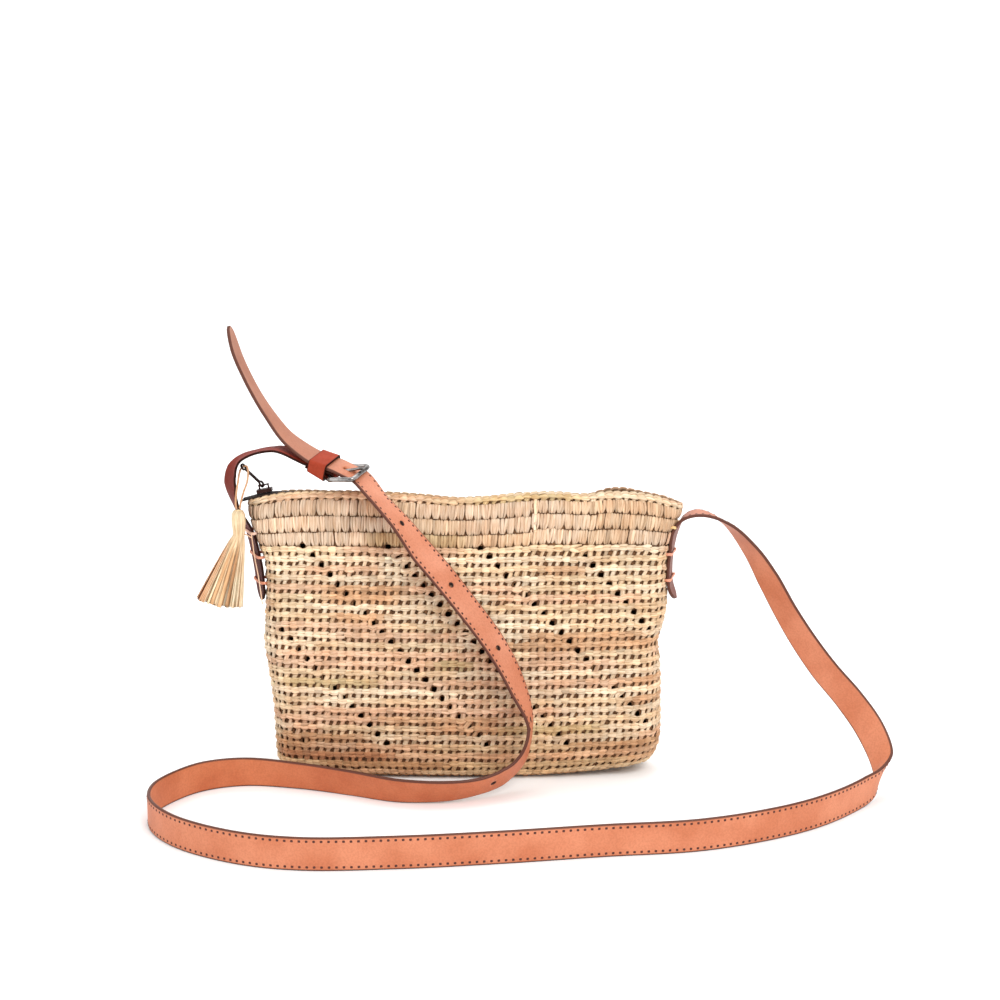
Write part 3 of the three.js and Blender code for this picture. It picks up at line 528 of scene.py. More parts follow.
def tube_faces(count, rings, sides, loop=False):
    """Faces of closed tubes whose points run by tube, ring and side."""
    first = np.arange(count)[:, None, None] * rings * sides
    ring = np.arange(rings if loop else rings - 1)[None, :, None]
    side = np.arange(sides)[None, None, :]
    here = first + ring * sides
    there = first + (ring + 1) % rings * sides
    turn = (side + 1) % sides
    walls = np.stack([here + side, here + turn, there + turn, there + side], -1).reshape(-1, 4)
    if loop:
        return walls
    cap = np.array([(i, i + 1, sides - 2 - i, sides - 1 - i) for i in range(sides // 2 - 1)])
    start = (first[:, 0] + cap.ravel()).reshape(-1, 4)
    end = start[:, ::-1] + (rings - 1) * sides
    return np.vstack([walls, start, end])


def facing_out(points, quads):
    """The quads turned, if need be, so that together they enclose a positive volume."""
    a, b, c, d = (points[quads[:, i]] for i in range(4))
    volume = np.sum(a * np.cross(b, c)) + np.sum(a * np.cross(c, d))
    return quads if volume > 0 else quads[:, ::-1]


def tubes(rings, loop=False):
    """Points and outward faces of tubes, from their points by tube, ring and side."""
    count = len(rings) if rings.ndim == 4 else 1
    points = rings.reshape(-1, 3)
    return points, facing_out(points, tube_faces(count, *rings.shape[-3:-1], loop))


def joined(*parts):
    """Points and faces of several meshes as one."""
    starts = np.cumsum([0] + [len(points) for points, _ in parts])
    points = np.vstack([points for points, _ in parts])
    return points, np.vstack([quads + start for (_, quads), start in zip(parts, starts)])


def way_out(path):
    """Way out of a closed flat path at each of its points."""
    along = np.roll(path, -1, 0) - np.roll(path, 1, 0)
    return unit(np.stack([along[:, 1], -along[:, 0]], 1))


class Look:
    """A procedural material under construction."""

    def __init__(self, name, **sockets):
        self.material = bpy.data.materials.new(name)
        self.material.use_nodes = True
        self.tree = self.material.node_tree
        self.shader = self.tree.nodes["Principled BSDF"]
        self.connect(self.shader, {key.replace("_", " "): value for key, value in sockets.items()})

    def connect(self, node, inputs):
        for key, value in inputs.items():
            socket = node.inputs[key]
            if isinstance(value, bpy.types.NodeSocket):
                self.tree.links.new(value, socket)
            else:
                socket.default_value = value

    def node(self, kind, inputs, **settings):
        made = self.tree.nodes.new("ShaderNode" + kind)
        for name, value in settings.items():
            setattr(made, name, value)
        self.connect(made, inputs)
        return made

    def attribute(self, name, output):
        return self.node("Attribute", {}, attribute_name=name).outputs[output]

    def place(self):
        return self.node("TexCoord", {}).outputs["Object"]

    def scaled(self, vector, scale):
        return self.node("Mapping", {"Vector": vector, "Scale": scale}).outputs["Vector"]

    def noise(self, vector, scale, detail=2.0):
        return self.node("TexNoise", {"Vector": vector, "Scale": scale, "Detail": detail}).outputs["Fac"]

    def ramp(self, share, stops):
        made = self.node("ValToRGB", {"Fac": share})
        for element, (at, colour) in zip(made.color_ramp.elements, stops):
            element.position = at
            element.color = (*colour, 1)
        return made.outputs["Color"]

    def mix(self, share, a, b, blend="MIX"):
        inputs = {0: share, 6: a if isinstance(a, bpy.types.NodeSocket) else (*a, 1)}
        inputs[7] = b if isinstance(b, bpy.types.NodeSocket) else (*b, 1)
        return self.node("Mix", inputs, data_type="RGBA", blend_type=blend).outputs[2]

    def range(self, value, low, high, start=0.0, end=1.0):
        inputs = {"Value": value, "From Min": low, "From Max": high, "To Min": start, "To Max": end}
        return self.node("MapRange", inputs, interpolation_type="SMOOTHSTEP").outputs["Result"]

    def bump(self, height, strength, distance):
        inputs = {"Height": height, "Strength": strength, "Distance": distance}
        self.connect(self.shader, {"Normal": self.node("Bump", inputs).outputs["Normal"]})

    def colour(self, value):
        self.connect(self.shader, {"Base Color": value})
        return self.material


def raffia_look(name, roughness):
    """Split palm strips: colour from the strand, with fibres along it."""
    look = Look(name, Roughness=roughness, Specular_IOR_Level=0.35)
    lay = look.attribute("lay", "Vector")
    fibres = look.noise(look.scaled(lay, (0.1, 1.7, 1)), 1.0, 3)
    blotches = look.noise(look.place(), 85, 2)
    streaks = look.ramp(fibres, [(0.32, (0.66, 0.56, 0.45)), (0.56, (1, 1, 1))])
    body = look.mix(1.0, look.attribute("tint", "Color"), streaks, "MULTIPLY")
    warmth = look.ramp(blotches, [(0.4, (0.9, 0.74, 0.62)), (0.6, (1, 1, 1))])
    warmed = look.mix(0.5, body, warmth, "MULTIPLY")
    look.bump(fibres, 0.5, 0.0003)
    return look.colour(warmed)


def ground_look():
    """Dark inner layer of the crochet: painted shade seen between the stitches."""
    look = Look("raffia_shade", Roughness=0.85)
    grain = look.noise(look.place(), 420, 3)
    look.bump(grain, 0.6, 0.0005)
    return look.colour(look.ramp(grain, [(0.35, linear(84, 52, 30)), (0.7, linear(140, 98, 62))]))


def leather_look(name, pale, deep, edge, shine):
    """Vegetable tanned leather: mottled, finely grained, burnished along its edges."""
    look = Look(name, Roughness=0.55, Specular_IOR_Level=shine)
    place = look.place()
    mottle = look.noise(place, 38, 4)
    grain = look.noise(place, 900, 3)
    pores = look.node("TexVoronoi", {"Vector": place, "Scale": 620.0}).outputs["Distance"]
    hide = look.ramp(mottle, [(0.36, deep), (0.62, pale)])
    face = look.mix(1.0, hide, look.attribute("tint", "Color"), "MULTIPLY")
    flecks = look.ramp(grain, [(0.38, (0.72, 0.66, 0.6)), (0.58, (1, 1, 1))])
    flecked = look.mix(0.35, face, flecks, "MULTIPLY")
    rim = look.node("SeparateXYZ", {"Vector": look.attribute("lay", "Vector")}).outputs["Z"]
    burnished = look.mix(look.range(rim, 0.15, 0.95), flecked, edge)
    relief = look.node("Math", {0: grain, 1: pores}, operation="ADD").outputs[0]
    look.bump(relief, 0.25, 0.0002)
    return look.colour(burnished)


def thread_look(name, colour):
    look = Look(name, Roughness=0.7)
    fuzz = look.noise(look.place(), 2600, 2)
    look.bump(fuzz, 0.5, 0.0001)
    return look.colour(look.ramp(fuzz, [(0.3, colour * 0.6), (0.7, colour)]))


def tape_look():
    """Tightly woven tape: ribs along the zip crossed by finer ones."""
    look = Look("zip_tape", Roughness=0.85)
    place = look.place()
    warp = look.node("TexWave", {"Vector": place, "Scale": 300.0}, bands_direction="X").outputs["Fac"]
    weft = look.node("TexWave", {"Vector": place, "Scale": 480.0}, bands_direction="Y").outputs["Fac"]
    weave = look.node("Math", {0: warp, 1: weft}, operation="MULTIPLY").outputs[0]
    look.bump(weave, 0.6, 0.0003)
    return look.colour(look.ramp(weave, [(0.1, linear(26, 16, 13)), (0.8, linear(58, 40, 34))]))


def coil_look():
    look = Look("zip_coil", Roughness=0.45)
    wear = look.noise(look.place(), 700, 2)
    look.bump(wear, 0.2, 0.0001)
    return look.colour(look.ramp(wear, [(0.3, linear(32, 20, 16)), (0.7, linear(62, 44, 38))]))


def metal_look(name, dark, pale, roughness):
    """Plated metal with faint brushing and dulled patches."""
    look = Look(name, Metallic=1.0)
    place = look.place()
    dull = look.noise(place, 140, 3)
    brushing = look.noise(look.scaled(place, (300, 2600, 2600)), 1.0, 2)
    low, high = roughness
    look.connect(look.shader, {"Roughness": look.range(dull, 0.3, 0.7, low, high)})
    look.bump(brushing, 0.08, 0.0001)
    return look.colour(look.ramp(dull, [(0.3, dark), (0.6, pale)]))


def floor_look():
    look = Look("floor", Roughness=0.9)
    grain = look.noise(look.place(), 30, 2)
    return look.colour(look.ramp(grain, [(0.3, (0.9, 0.9, 0.9)), (0.7, (0.93, 0.93, 0.93))]))


def make_cord(material):
    """Two-ply raffia strand through the pull's eye."""
    path, _ = curve_through(CORD_POINTS, 8)
    way = unit(np.gradient(path, axis=0))
    side = unit(np.cross(way, np.array((0.35, 0.9, 0.1))))
    up = np.cross(way, side)
    around = turns(10)
    run = run_along(path)
    twist = run[:, None] * 0.9
    radius = CORD_RADIUS * (1 - 0.16 * (1 - np.abs(np.cos(around[None] + twist))))
    rings = (path[:, None] + side[:, None] * (radius * np.cos(around))[..., None]
             + up[:, None] * (radius * np.sin(around))[..., None])
    points, quads = tubes(rings)
    lay = stacked(run[:, None], np.cos(around)[None] * 1.2 + twist, 3.0).reshape(-1, 3)
    tint = np.tile(linear(206, 162, 124), (len(points), 1))
    obj = piece("tassel_cord", mesh_of("tassel_cord", points, quads, tint, lay), material,
                "tassel_raffia", "tassel_cord")


def make_stage():
    """Pale floor that curves up into a backdrop, and soft light from the right and above."""
    edge, back, rise = 7.0, 2.4, 1.2
    profile = [(-6.0, 0.0), (back, 0.0)]
    bends = np.linspace(0.1, math.pi / 2, 12)
    profile += [(back + rise * math.sin(a), rise - rise * math.cos(a)) for a in bends]
    profile.append((back + rise, 6.0))
    points = np.array([(x, y, z) for y, z in profile for x in (-edge, edge)]) / MM
    quads = [(2 * i, 2 * i + 1, 2 * i + 3, 2 * i + 2) for i in range(len(profile) - 1)]
    mesh = mesh_of("floor", points, quads)
    floor = bpy.data.objects.new("floor", mesh)
    mesh.materials.append(floor_look())
    bpy.context.scene.collection.objects.link(floor)
    lamps = [
        {"name": "key", "at": (0.9, -1.3, 1.5), "size": 1.1, "watts": 26},
        {"name": "left", "at": (-1.4, -1.0, 0.9), "size": 1.4, "watts": 9},
        {"name": "top", "at": (0.0, 0.4, 1.9), "size": 1.6, "watts": 14},
        {"name": "backdrop", "at": (0.0, 1.2, 2.6), "size": 1.8, "watts": 60, "aim": (0.0, 3.6, 1.0)},
    ]
    for lamp in lamps:
        data = bpy.data.lights.new(lamp["name"], "AREA")
        data.energy = lamp["watts"]
        data.size = lamp["size"]
        obj = bpy.data.objects.new(lamp["name"], data)
        obj.location = lamp["at"]
        way = unit(np.array(lamp.get("aim", (0.02, -0.05, 0.1))) - np.array(lamp["at"]))
        flat = math.hypot(way[0], way[1])
        obj.rotation_euler = (math.atan2(flat, -way[2]), 0, math.atan2(-way[0], way[1]))
        bpy.context.scene.collection.objects.link(obj)
    world = bpy.data.worlds.new("studio")
    world.use_nodes = True
    sky = world.node_tree.nodes["Background"]
    sky.inputs["Color"].default_value = (1, 1, 1, 1)
    sky.inputs["Strength"].default_value = 0.75
    bpy.context.scene.world = world
    bpy.context.scene.view_settings.view_transform = "Standard"


class Pouch:
    """Outer surface of the pouch, read by stitches round it, mm down from the rim and mm outward."""

    COLUMNS = 4 * STITCHES

    def __init__(self):
        heights = np.linspace(BODY_HEIGHT, 0, 1400)
        deep = smooth_through(BODY_SECTIONS, 3, heights)
        down = np.concatenate([[0], np.cumsum(np.hypot(np.diff(heights), np.diff(deep)))])
        self.wall = down[-1]
        self.eyelets = np.interp(BODY_HEIGHT - EYELET_TOP, BODY_HEIGHT - heights, down)
        self.base = BODY_SECTIONS[0][3]
        self.above = 3.0
        self.total = self.wall + self.base * 0.97
        self.step = 1.2
        self.levels = np.arange(-self.above, self.total + self.step, self.step)
        rings = []
        for level in self.levels:
            height = BODY_HEIGHT - level if level < 0 else np.interp(level, down, heights)
            shrink = np.clip((level - self.wall) / self.base, 0, 0.975)
            rings.append(self.ring(height, shrink))
        self.grid = np.stack(rings)
        down_way = np.gradient(self.grid, axis=0)
        round_way = np.roll(self.grid, -1, 1) - np.roll(self.grid, 1, 1)
        self.normal = unit(np.cross(down_way, round_way))

    def ring(self, height, shrink):
        """Evenly spaced points round the pouch at one height, from the front middle by the right."""
        size = dict(zip(BODY_COLUMNS[1:], (smooth_through(BODY_SECTIONS, i, height) for i in range(1, 6))))
        keep = 1 - shrink
        round_ = max(size["round"] * keep, 0.4)
        deep, ends = size["deep"] * keep, size["ends"] * keep
        corners = []
        for side, name in ((1, "right"), (-1, "left")):
            flat = size[name] - shrink * self.base - round_
            t = np.linspace(0, 1, 120)
            a = np.linspace(0, math.pi / 2, 60)[1:]
            x = np.concatenate([flat * t, flat + round_ * np.sin(a)])
            y = np.concatenate([ends + (deep - ends) * (1 - t * t), ends * np.cos(a)])
            corners.append((side * x, y))
        (rx, ry), (lx, ly) = corners
        x = np.concatenate([rx, rx[::-1][1:], lx[1:], lx[::-1][1:]])
        y = np.concatenate([-ry, ry[::-1][1:], ly[1:], -ly[::-1][1:]])
        run = np.concatenate([[0], np.cumsum(np.hypot(np.diff(x), np.diff(y)))])
        want = np.arange(self.COLUMNS) / self.COLUMNS * run[-1]
        x, y = np.interp(want, run, x), np.interp(want, run, y)
        lift = max((height - RIM_BLEND_START) / (BODY_HEIGHT - RIM_BLEND_START), 0)
        drop = np.where(y > 0, smooth_through(BACK_RIM, 1, x), 0)
        z = height + (smooth_through(RIM, 1, x) - drop - BODY_HEIGHT) * lift * lift
        curl = np.clip((x - CORNER["from"]) / CORNER["reach"], 0, None) ** CORNER["curl"]
        z += CORNER["lift"] * curl * max(1 - height / CORNER["fades"], 0) ** 2
        for d in DENTS:
            push = d["deep"] * np.exp(-(((x - d["x"]) / d["wide"]) ** 2) - ((z - d["z"]) / d["tall"]) ** 2)
            y = y + np.where(y < 0, push, 0)
        return np.stack([x, y, z], 1)

    def opened(self, around, down):
        """Places after every eyelet has pushed the strands round it aside."""
        shift_a, shift_d = np.zeros_like(around), np.zeros_like(down)
        nearest = np.rint((down - self.eyelets) / ROW)
        for start, gain in EYELET_LINES + BACK_LINES:
            for step in (-1, 0, 1):
                row = nearest + step
                off = (around - start - row * gain + STITCHES / 2) % STITCHES - STITCHES / 2
                x = off * STITCH
                y = down - self.eyelets - row * ROW
                far = np.hypot(x, y) + 1e-3
                fade = np.clip(1 - (far / EYELET_PULL) ** 2, 0, 1) ** 2
                fade = np.where((row >= 0) & (row < EYELET_ROWS), fade, 0)
                wide, tall = (np.sqrt(far * far + r * r * fade) / far - 1 for r in EYELET_PUSH)
                shift_a += x * wide / STITCH
                shift_d += y * tall
        return around + shift_a, down + shift_d

    def at(self, around, down, out):
        column = (around * 4) % self.COLUMNS
        level = np.clip((down + self.above) / self.step, 0, len(self.levels) - 1.001)
        c0, l0 = np.floor(column).astype(int), np.floor(level).astype(int)
        fc, fl = (column - c0)[..., None], (level - l0)[..., None]
        c0, c1 = c0 % self.COLUMNS, (c0 + 1) % self.COLUMNS

        def read(grid):
            top = grid[l0, c0] * (1 - fc) + grid[l0, c1] * fc
            low = grid[l0 + 1, c0] * (1 - fc) + grid[l0 + 1, c1] * fc
            return top * (1 - fl) + low * fl

        sunk = out - 1.3 * np.clip((down - self.wall + 9) / 7, 0, 1)
        points = read(self.grid) + unit(read(self.normal)) * sunk[..., None]
        points[..., 2] = np.maximum(points[..., 2], 0.05)
        return points


class Strands:
    """Flattened raffia strands laid on the pouch, gathered into one mesh."""

    SIDES = 6

    def __init__(self, pouch):
        self.pouch = pouch
        self.parts, self.tints, self.lays = [], [], []
        self.count = 0

    def add(self, around, down, out, wide, thick, colours, tilt=0.0):
        """Strands by rings: places round, down and out, half width and half thickness of each ring."""
        around, down = self.pouch.opened(around, down)
        wide = np.broadcast_to(wide, around.shape)
        thick = np.broadcast_to(thick, around.shape)
        dx = np.gradient(around * STITCH, axis=1)
        dy = np.gradient(down, axis=1)
        size = np.hypot(dx, dy) + 1e-6
        turn = turns(self.SIDES)
        tilt = np.broadcast_to(tilt, around.shape)[..., None]
        flat = wide[..., None] * np.cos(turn)
        high = thick[..., None] * np.sin(turn)
        over = flat * np.cos(tilt) - high * np.sin(tilt)
        lift = flat * np.sin(tilt) + high * np.cos(tilt)
        a = around[..., None] - dy[..., None] / size[..., None] * over / STITCH
        d = down[..., None] + dx[..., None] / size[..., None] * over
        h = out[..., None] + lift
        run = np.cumsum(size, axis=1)
        ids = np.arange(len(around))[:, None, None] * 3.7 + self.count % 97
        lay = stacked(run[..., None], flat, ids).reshape(-1, 3)
        # Painted shade: strands lying deeper in the weave are tinted darker and warmer.
        shade = np.clip(0.55 + 0.45 * (h + 0.9) / 1.1, 0.55, 1)[..., None]
        warm = np.array((1.0, 0.92, 0.82)) ** (2 * (1 - shade))
        tint = (colours[:, None, None, :] * shade * warm).reshape(-1, 3)
        self.parts.append(tubes(self.pouch.at(a, d, h)))
        self.tints.append(tint)
        self.lays.append(lay)
        self.count += len(lay)

    def piece(self, name, material, *nodes):
        mesh = mesh_of(name, *joined(*self.parts), np.vstack(self.tints), np.vstack(self.lays))
        return piece(name, mesh, material, "raffia", *nodes)


def row_colours(dark=0.0):
    """Colour of each stitch in a row: strips last some stitches before the next is worked in."""
    shares = np.array([tone["share"] for tone in RAFFIA_TONES])
    colours = np.zeros((STITCHES, 3))
    at = 0
    while at < STITCHES:
        span = int(rng.integers(5, 20))
        tone = RAFFIA_TONES[rng.choice(len(RAFFIA_TONES), p=shares / shares.sum())]["colour"]
        colours[at:at + span] = tone * rng.uniform(0.86, 1.06)
        at += span
    colours = np.roll(colours, int(rng.integers(0, STITCHES)), axis=0)
    colours = sum(np.roll(colours, k, axis=0) * share for k, share in ((-1, 0.25), (0, 0.5), (1, 0.25)))
    colours *= rng.uniform(0.93, 1.05, (STITCHES, 1))
    # Painted shade: dark tints the whole row darker and browner.
    return np.clip(colours * (1 - dark * np.array((0.22, 0.3, 0.42))), 0, 1)


def wander(amount):
    """Slow waver round a row, the same at both ends."""
    turn = turns(STITCHES)
    waves = sum(rng.normal(0, 1 / k) * np.sin(k * turn + rng.uniform(0, 6.28)) for k in (2, 3, 5, 9))
    return waves * amount


def jitter(mean, spread):
    """A chance value for each stitch of a row."""
    return rng.normal(mean, spread, (STITCHES, 1))


def single_row(strands, top, bottom, colours):
    """A row of single crochet: two plump lobes that run on from stitch to stitch, over short posts."""
    tall = bottom - top
    centre = np.arange(STITCHES) + 0.5 + rng.normal(0, 0.04, STITCHES)
    fall = rng.normal(0, 0.22, STITCHES)
    steps = np.array((-0.62, -0.34, 0.0, 0.34, 0.62))
    taper = np.array((0.5, 0.92, 1.12, 0.95, 0.55))
    tuck = np.array((-0.8, -0.1, 0.22, 0.05, -0.7))
    for place, slant, rise, wide in ((0.2, -0.3, 0.0, 1.2), (0.46, 0.35, 0.22, 1.24)):
        around = centre[:, None] + steps
        down = (top + fall + place * tall)[:, None] + slant * steps + jitter(0, 0.16)
        out = rise + tuck + jitter(0, 0.12)
        shades = np.clip(colours * jitter(1, 0.1), 0, 1)
        swell = jitter(1, 0.1)
        tilt = jitter(0.1, 0.12)
        strands.add(around, down, out, wide * taper * swell, 0.6, shades, tilt)
    v = np.array((0.5, 0.72, 0.96, 1.2))
    lean = jitter(0.42, 0.1)
    around = centre[:, None] - lean * (v - 0.85)
    down = (top + fall)[:, None] + v * tall[:, None]
    out = np.array((-0.25, -0.12, -0.18, -0.4)) + jitter(0, 0.07)
    # Painted shade: the posts under the lobes are tinted a little darker.
    shades = np.clip(colours * jitter(0.92, 0.1), 0, 1)
    wide = jitter(1.4, 0.2) + wander(0.07)[:, None]
    strands.add(around, down, out, np.maximum(wide, 0.7), 0.5, shades)


def tall_row(strands, top, bottom, colours):
    """A tall row: narrow posts pressed together by threes, parted only near their feet."""
    u = np.array((0.32, 0.33, 0.34, 0.32, 0.26, 0.19))
    v = np.array((0.0, 0.07, 0.4, 0.68, 0.86, 0.98))
    out = np.array((-0.7, 0.0, 0.14, 0.1, -0.15, -0.8))
    wide = np.array((0.7, 1.02, 1.1, 1.02, 0.8, 0.6))
    centre = np.arange(STITCHES) + 0.5 + rng.normal(0, 0.05, STITCHES)
    fall = rng.normal(0, 0.2, STITCHES)
    for side in (-1, 0, 1):
        lean = jitter(0.08, 0.09)
        around = centre[:, None] + side * u * jitter(1, 0.08) + lean * (0.5 - v)
        down = (top + fall)[:, None] + v * (bottom - top)[:, None]
        rise = out + jitter(0.08 * (side == 0), 0.14)
        shades = np.clip(colours * jitter(1, 0.1), 0, 1)
        strands.add(around, down, rise, wide * jitter(1, 0.1), 0.4,
                    shades, jitter(0, 0.16))


def rim_loops(strands, colours):
    """Slanted loops along the top of the rim, outer and inner."""
    centre = np.arange(STITCHES)[:, None] + 0.5
    steps = np.array((-0.6, -0.25, 0.2, 0.6))
    for out, down in ((-0.2, -0.3), (-1.7, -0.4)):
        around = centre + steps
        fall = down + np.array((0.7, 0.0, -0.15, 0.5)) + jitter(0, 0.1)
        rise = out + np.array((0.15, 0.1, -0.2, -0.6)) + jitter(0, 0.08)
        strands.add(around, fall, rise, np.array((0.6, 0.9, 0.9, 0.6)), 0.75, colours)


def seam(strands, bottom):
    """Upright strips where each round of the border was closed."""
    v = np.linspace(0.06, 1, 9)
    for place, wide, tone in ((-0.2, 0.5, linear(120, 72, 44)), (0.08, 0.95, linear(250, 234, 202))):
        around = SEAM + place + 0.05 * np.sin(v * 14)[None]
        rise = -0.05 + 0.25 * np.cos(v * 19)[None] + (0.1 if wide > 0.6 else -0.25)
        strands.add(around, v[None] * bottom, rise, wide, 0.5, tone[None])


def row_edges(pouch):
    """Line under each row from the rim down, at every stitch; rounds step up past the seam."""
    singles = pouch.eyelets - EYELET_SINK
    falls = [0.3, RIM_ROW, RIM_ROW + TALL_ROWS[0], RIM_ROW + sum(TALL_ROWS)]
    steps = [0, 0, 2.2, 2.2]
    count = int((pouch.total - singles) / ROW) + 1
    falls += [singles + i * ROW for i in range(count)]
    steps += [0.9, 0.4] + [0] * (count - 2)
    past = (np.arange(STITCHES) + 0.5 - SEAM) % STITCHES
    return [fall - step * np.clip(1 - past / 45, 0, 1) + wander(0.2) for fall, step in zip(falls, steps)]


def make_crochet(pouch):
    look = raffia_look("raffia", 0.62)
    edges = row_edges(pouch)
    border = Strands(pouch)
    # The rim rows are darkened as painted shade under the zip.
    rim_loops(border, row_colours(0.3))
    single_row(border, edges[0], edges[1], row_colours(0.2))
    for i in (1, 2, 3):
        tall_row(border, edges[i], edges[i + 1], row_colours() * BORDER_TONE)
    seam(border, edges[3].mean())
    border.piece("crochet_border", look, "bag_body")
    last = len(edges) - 1
    split = (4, 13, 22, last)
    for number, name in enumerate(("crochet_upper", "crochet_middle", "crochet_lower")):
        band = Strands(pouch)
        for row in range(split[number], split[number + 1]):
            # Painted shade: the rows that curve under the bottom are darkened.
            dark = np.clip((row - 22) / 5, 0, 1)
            single_row(band, edges[row], edges[row + 1], row_colours(dark))
        band.piece(name, look)
    make_ground(pouch)


def make_ground(pouch):
    """Wall behind the stitches, open at every eyelet; its dark colour is painted shade."""
    across = 2 * STITCHES
    downs = np.arange(-0.2, pouch.total, ROW / 2)
    a, d = np.meshgrid(np.arange(across) / 2, downs)
    gaps = set()
    for start, gain in EYELET_LINES:
        for row in range(EYELET_ROWS):
            at, fall = start + row * gain, pouch.eyelets + row * ROW
            if abs(at) > FRONT_STITCHES:
                continue
            j, i = math.floor(at * 2) % across, int(np.searchsorted(downs, fall)) - 1
            gaps.add((i, j))
            for di, dj in ((0, 0), (0, 1), (1, 0), (1, 1)):
                a[i + di, (j + dj) % across] = at + (2 * dj - 1) * GROUND_HOLE / STITCH
                d[i + di, (j + dj) % across] = fall + (2 * di - 1) * GROUND_HOLE
    points = pouch.at(a, d, np.full_like(a, -GROUND_DEPTH)).reshape(-1, 3)
    quads = []
    for i in range(len(downs) - 1):
        for j in range(across):
            if (i, j) not in gaps:
                k = (j + 1) % across
                quads.append((i * across + j, (i + 1) * across + j, (i + 1) * across + k, i * across + k))
    last = (len(downs) - 1) * across
    for j in range(across // 2 - 1):
        quads.append((last + j, last + across - 1 - j, last + across - 2 - j, last + j + 1))
    mesh = mesh_of("crochet_ground", points, quads)
    obj = piece("crochet_ground", mesh, ground_look(), "raffia")
    wall = obj.modifiers.new("wall", "SOLIDIFY")
    wall.thickness = GROUND_THICK * MM
    wall.offset = -1


def band_section(thick):
    """Cross section of a strap: unit places across it, mm out of its face, and how near its edge."""
    places = [(1, 1, 0.7), (0.93, 1, 0.15), (0.5, 1, 0), (0, 1, 0),
              (-0.5, 1, 0), (-0.93, 1, 0.15), (-1, 1, 0.7)]
    round_edge = [(-1, 30), (-1, 65), (-1, 115), (-1, 150)]
    section = [(a, f * thick, 0.0, e) for a, f, e in places]
    section += [(a, math.cos(math.radians(g)) * thick, math.sin(math.radians(g)), 1) for a, g in round_edge]
    section += [(-a, -f * thick, 0.0, e) for a, f, e in places]
    section += [(-a, -math.cos(math.radians(g)) * thick, math.sin(math.radians(g)), 1) for a, g in round_edge]
    return np.array(section)


def rounded_end(from_end, length):
    """Share of the full width at a distance from a rounded end."""
    if length == 0:
        return np.ones_like(from_end)
    t = np.clip(from_end / length, 0, 1)
    return np.maximum(np.sqrt(1 - (1 - t) ** 2), 0.1)


def band_mesh(name, ribbon, width, thick, start_tip, end_tip, tones):
    """A strap with soft burnished edges along a ribbon."""
    section = band_section(thick / 2)
    share = rounded_end(ribbon.at, start_tip) * rounded_end(ribbon.length - ribbon.at, end_tip)
    half = (width / 2 * share - STRAP_EDGE)[:, None]
    a = np.maximum(half, 0.1) * section[:, 0] + STRAP_EDGE * np.sign(section[:, 0]) * section[:, 2]
    points = (ribbon.mid[:, None] + ribbon.across[:, None] * a[..., None]
              + ribbon.face[:, None] * section[:, 1][None, :, None])
    points[..., 2] = np.maximum(points[..., 2], 0)
    lay = stacked(ribbon.at[:, None], a, section[:, 3]).reshape(-1, 3)
    # The tones table paints light and shade along the strap.
    table = np.array(tones, float)
    tint = read_rows(ribbon.marks, table[:, 0], table[:, 1:])
    return mesh_of(name, *tubes(points), np.repeat(tint, len(section), axis=0), lay)


def copy_nearest(source, made):
    """Gives the corners of cut holes the colour and strand place of the nearest point before the cut."""
    def read(mesh, name, field, width):
        flat = np.zeros(len(mesh.vertices) * width, np.float32)
        (mesh.vertices if name is None else mesh.attributes[name].data).foreach_get(field, flat)
        return flat.reshape(-1, width)

    old, new = read(source, None, "co", 3), read(made, None, "co", 3)
    new_tint, new_lay = read(made, "tint", "color", 4), read(made, "lay", "vector", 3)
    for i in np.flatnonzero(new_tint[:, :3].sum(1) < 1e-4):
        nearest = np.argmin(np.sum((old - new[i]) ** 2, 1))
        new_tint[i] = read(source, "tint", "color", 4)[nearest]
        new_lay[i] = read(source, "lay", "vector", 3)[nearest]
    made.attributes["tint"].data.foreach_set("color", new_tint.ravel())
    made.attributes["lay"].data.foreach_set("vector", new_lay.ravel())


def drilled(mesh, cutters):
    """The mesh with closed cutter meshes taken out of it."""
    scene = bpy.context.scene
    body = bpy.data.objects.new("drilled", mesh)
    scene.collection.objects.link(body)
    tools = []
    for cutter in cutters:
        tool = bpy.data.objects.new("cutter", cutter)
        scene.collection.objects.link(tool)
        tools.append(tool)
        cut = body.modifiers.new("cut", "BOOLEAN")
        cut.object = tool
        cut.operation = "DIFFERENCE"
        cut.solver = "EXACT"
    depsgraph = bpy.context.evaluated_depsgraph_get()
    made = bpy.data.meshes.new_from_object(body.evaluated_get(depsgraph))
    copy_nearest(mesh, made)
    for obj in (body, *tools):
        data = obj.data
        bpy.data.objects.remove(obj)
        bpy.data.meshes.remove(data)
    return made


def prism(centre, x_way, y_way, z_way, outline, deep):
    """Closed prism of an even outline, for cutting."""
    outline = np.array(outline, float)
    rings = [centre + outline[:, :1] * x_way + outline[:, 1:] * y_way + z_way * h for h in (-deep, deep)]
    return mesh_of("cutter", *tubes(np.stack(rings)))


def circle(radius, sides=16, stretch=0.0):
    return [(radius * math.cos(t) + math.copysign(stretch, math.cos(t)), radius * math.sin(t))
            for t in turns(sides)]


def strap_stitches(ribbon, start, end, out):
    """Short thread lumps along both edges of one face of the long strap, sunk into it."""
    at = np.arange(start, end, THREAD["pitch"])
    mid, way, across, face = ribbon.read(at)
    run = np.array((-0.85, -0.5, 0.5, 0.85))
    rise = np.array((-0.3, 0.0, 0.0, -0.3))
    turn = turns(6)
    rows = []
    for edge in (-1, 1):
        centre = (mid[:, None] + way[:, None] * run[:, None]
                  + across[:, None] * (edge * (STRAP_WIDTH / 2 - THREAD["inset"]))
                  + face[:, None] * (out * (STRAP_THICK / 2 + rise))[:, None])
        rings = (centre[:, :, None] + across[:, None, None] * (THREAD["wide"] * np.cos(turn))[:, None]
                 + face[:, None, None] * (THREAD["tall"] * np.sin(turn))[:, None])
        rows.append(tubes(rings))
    return joined(*rows)


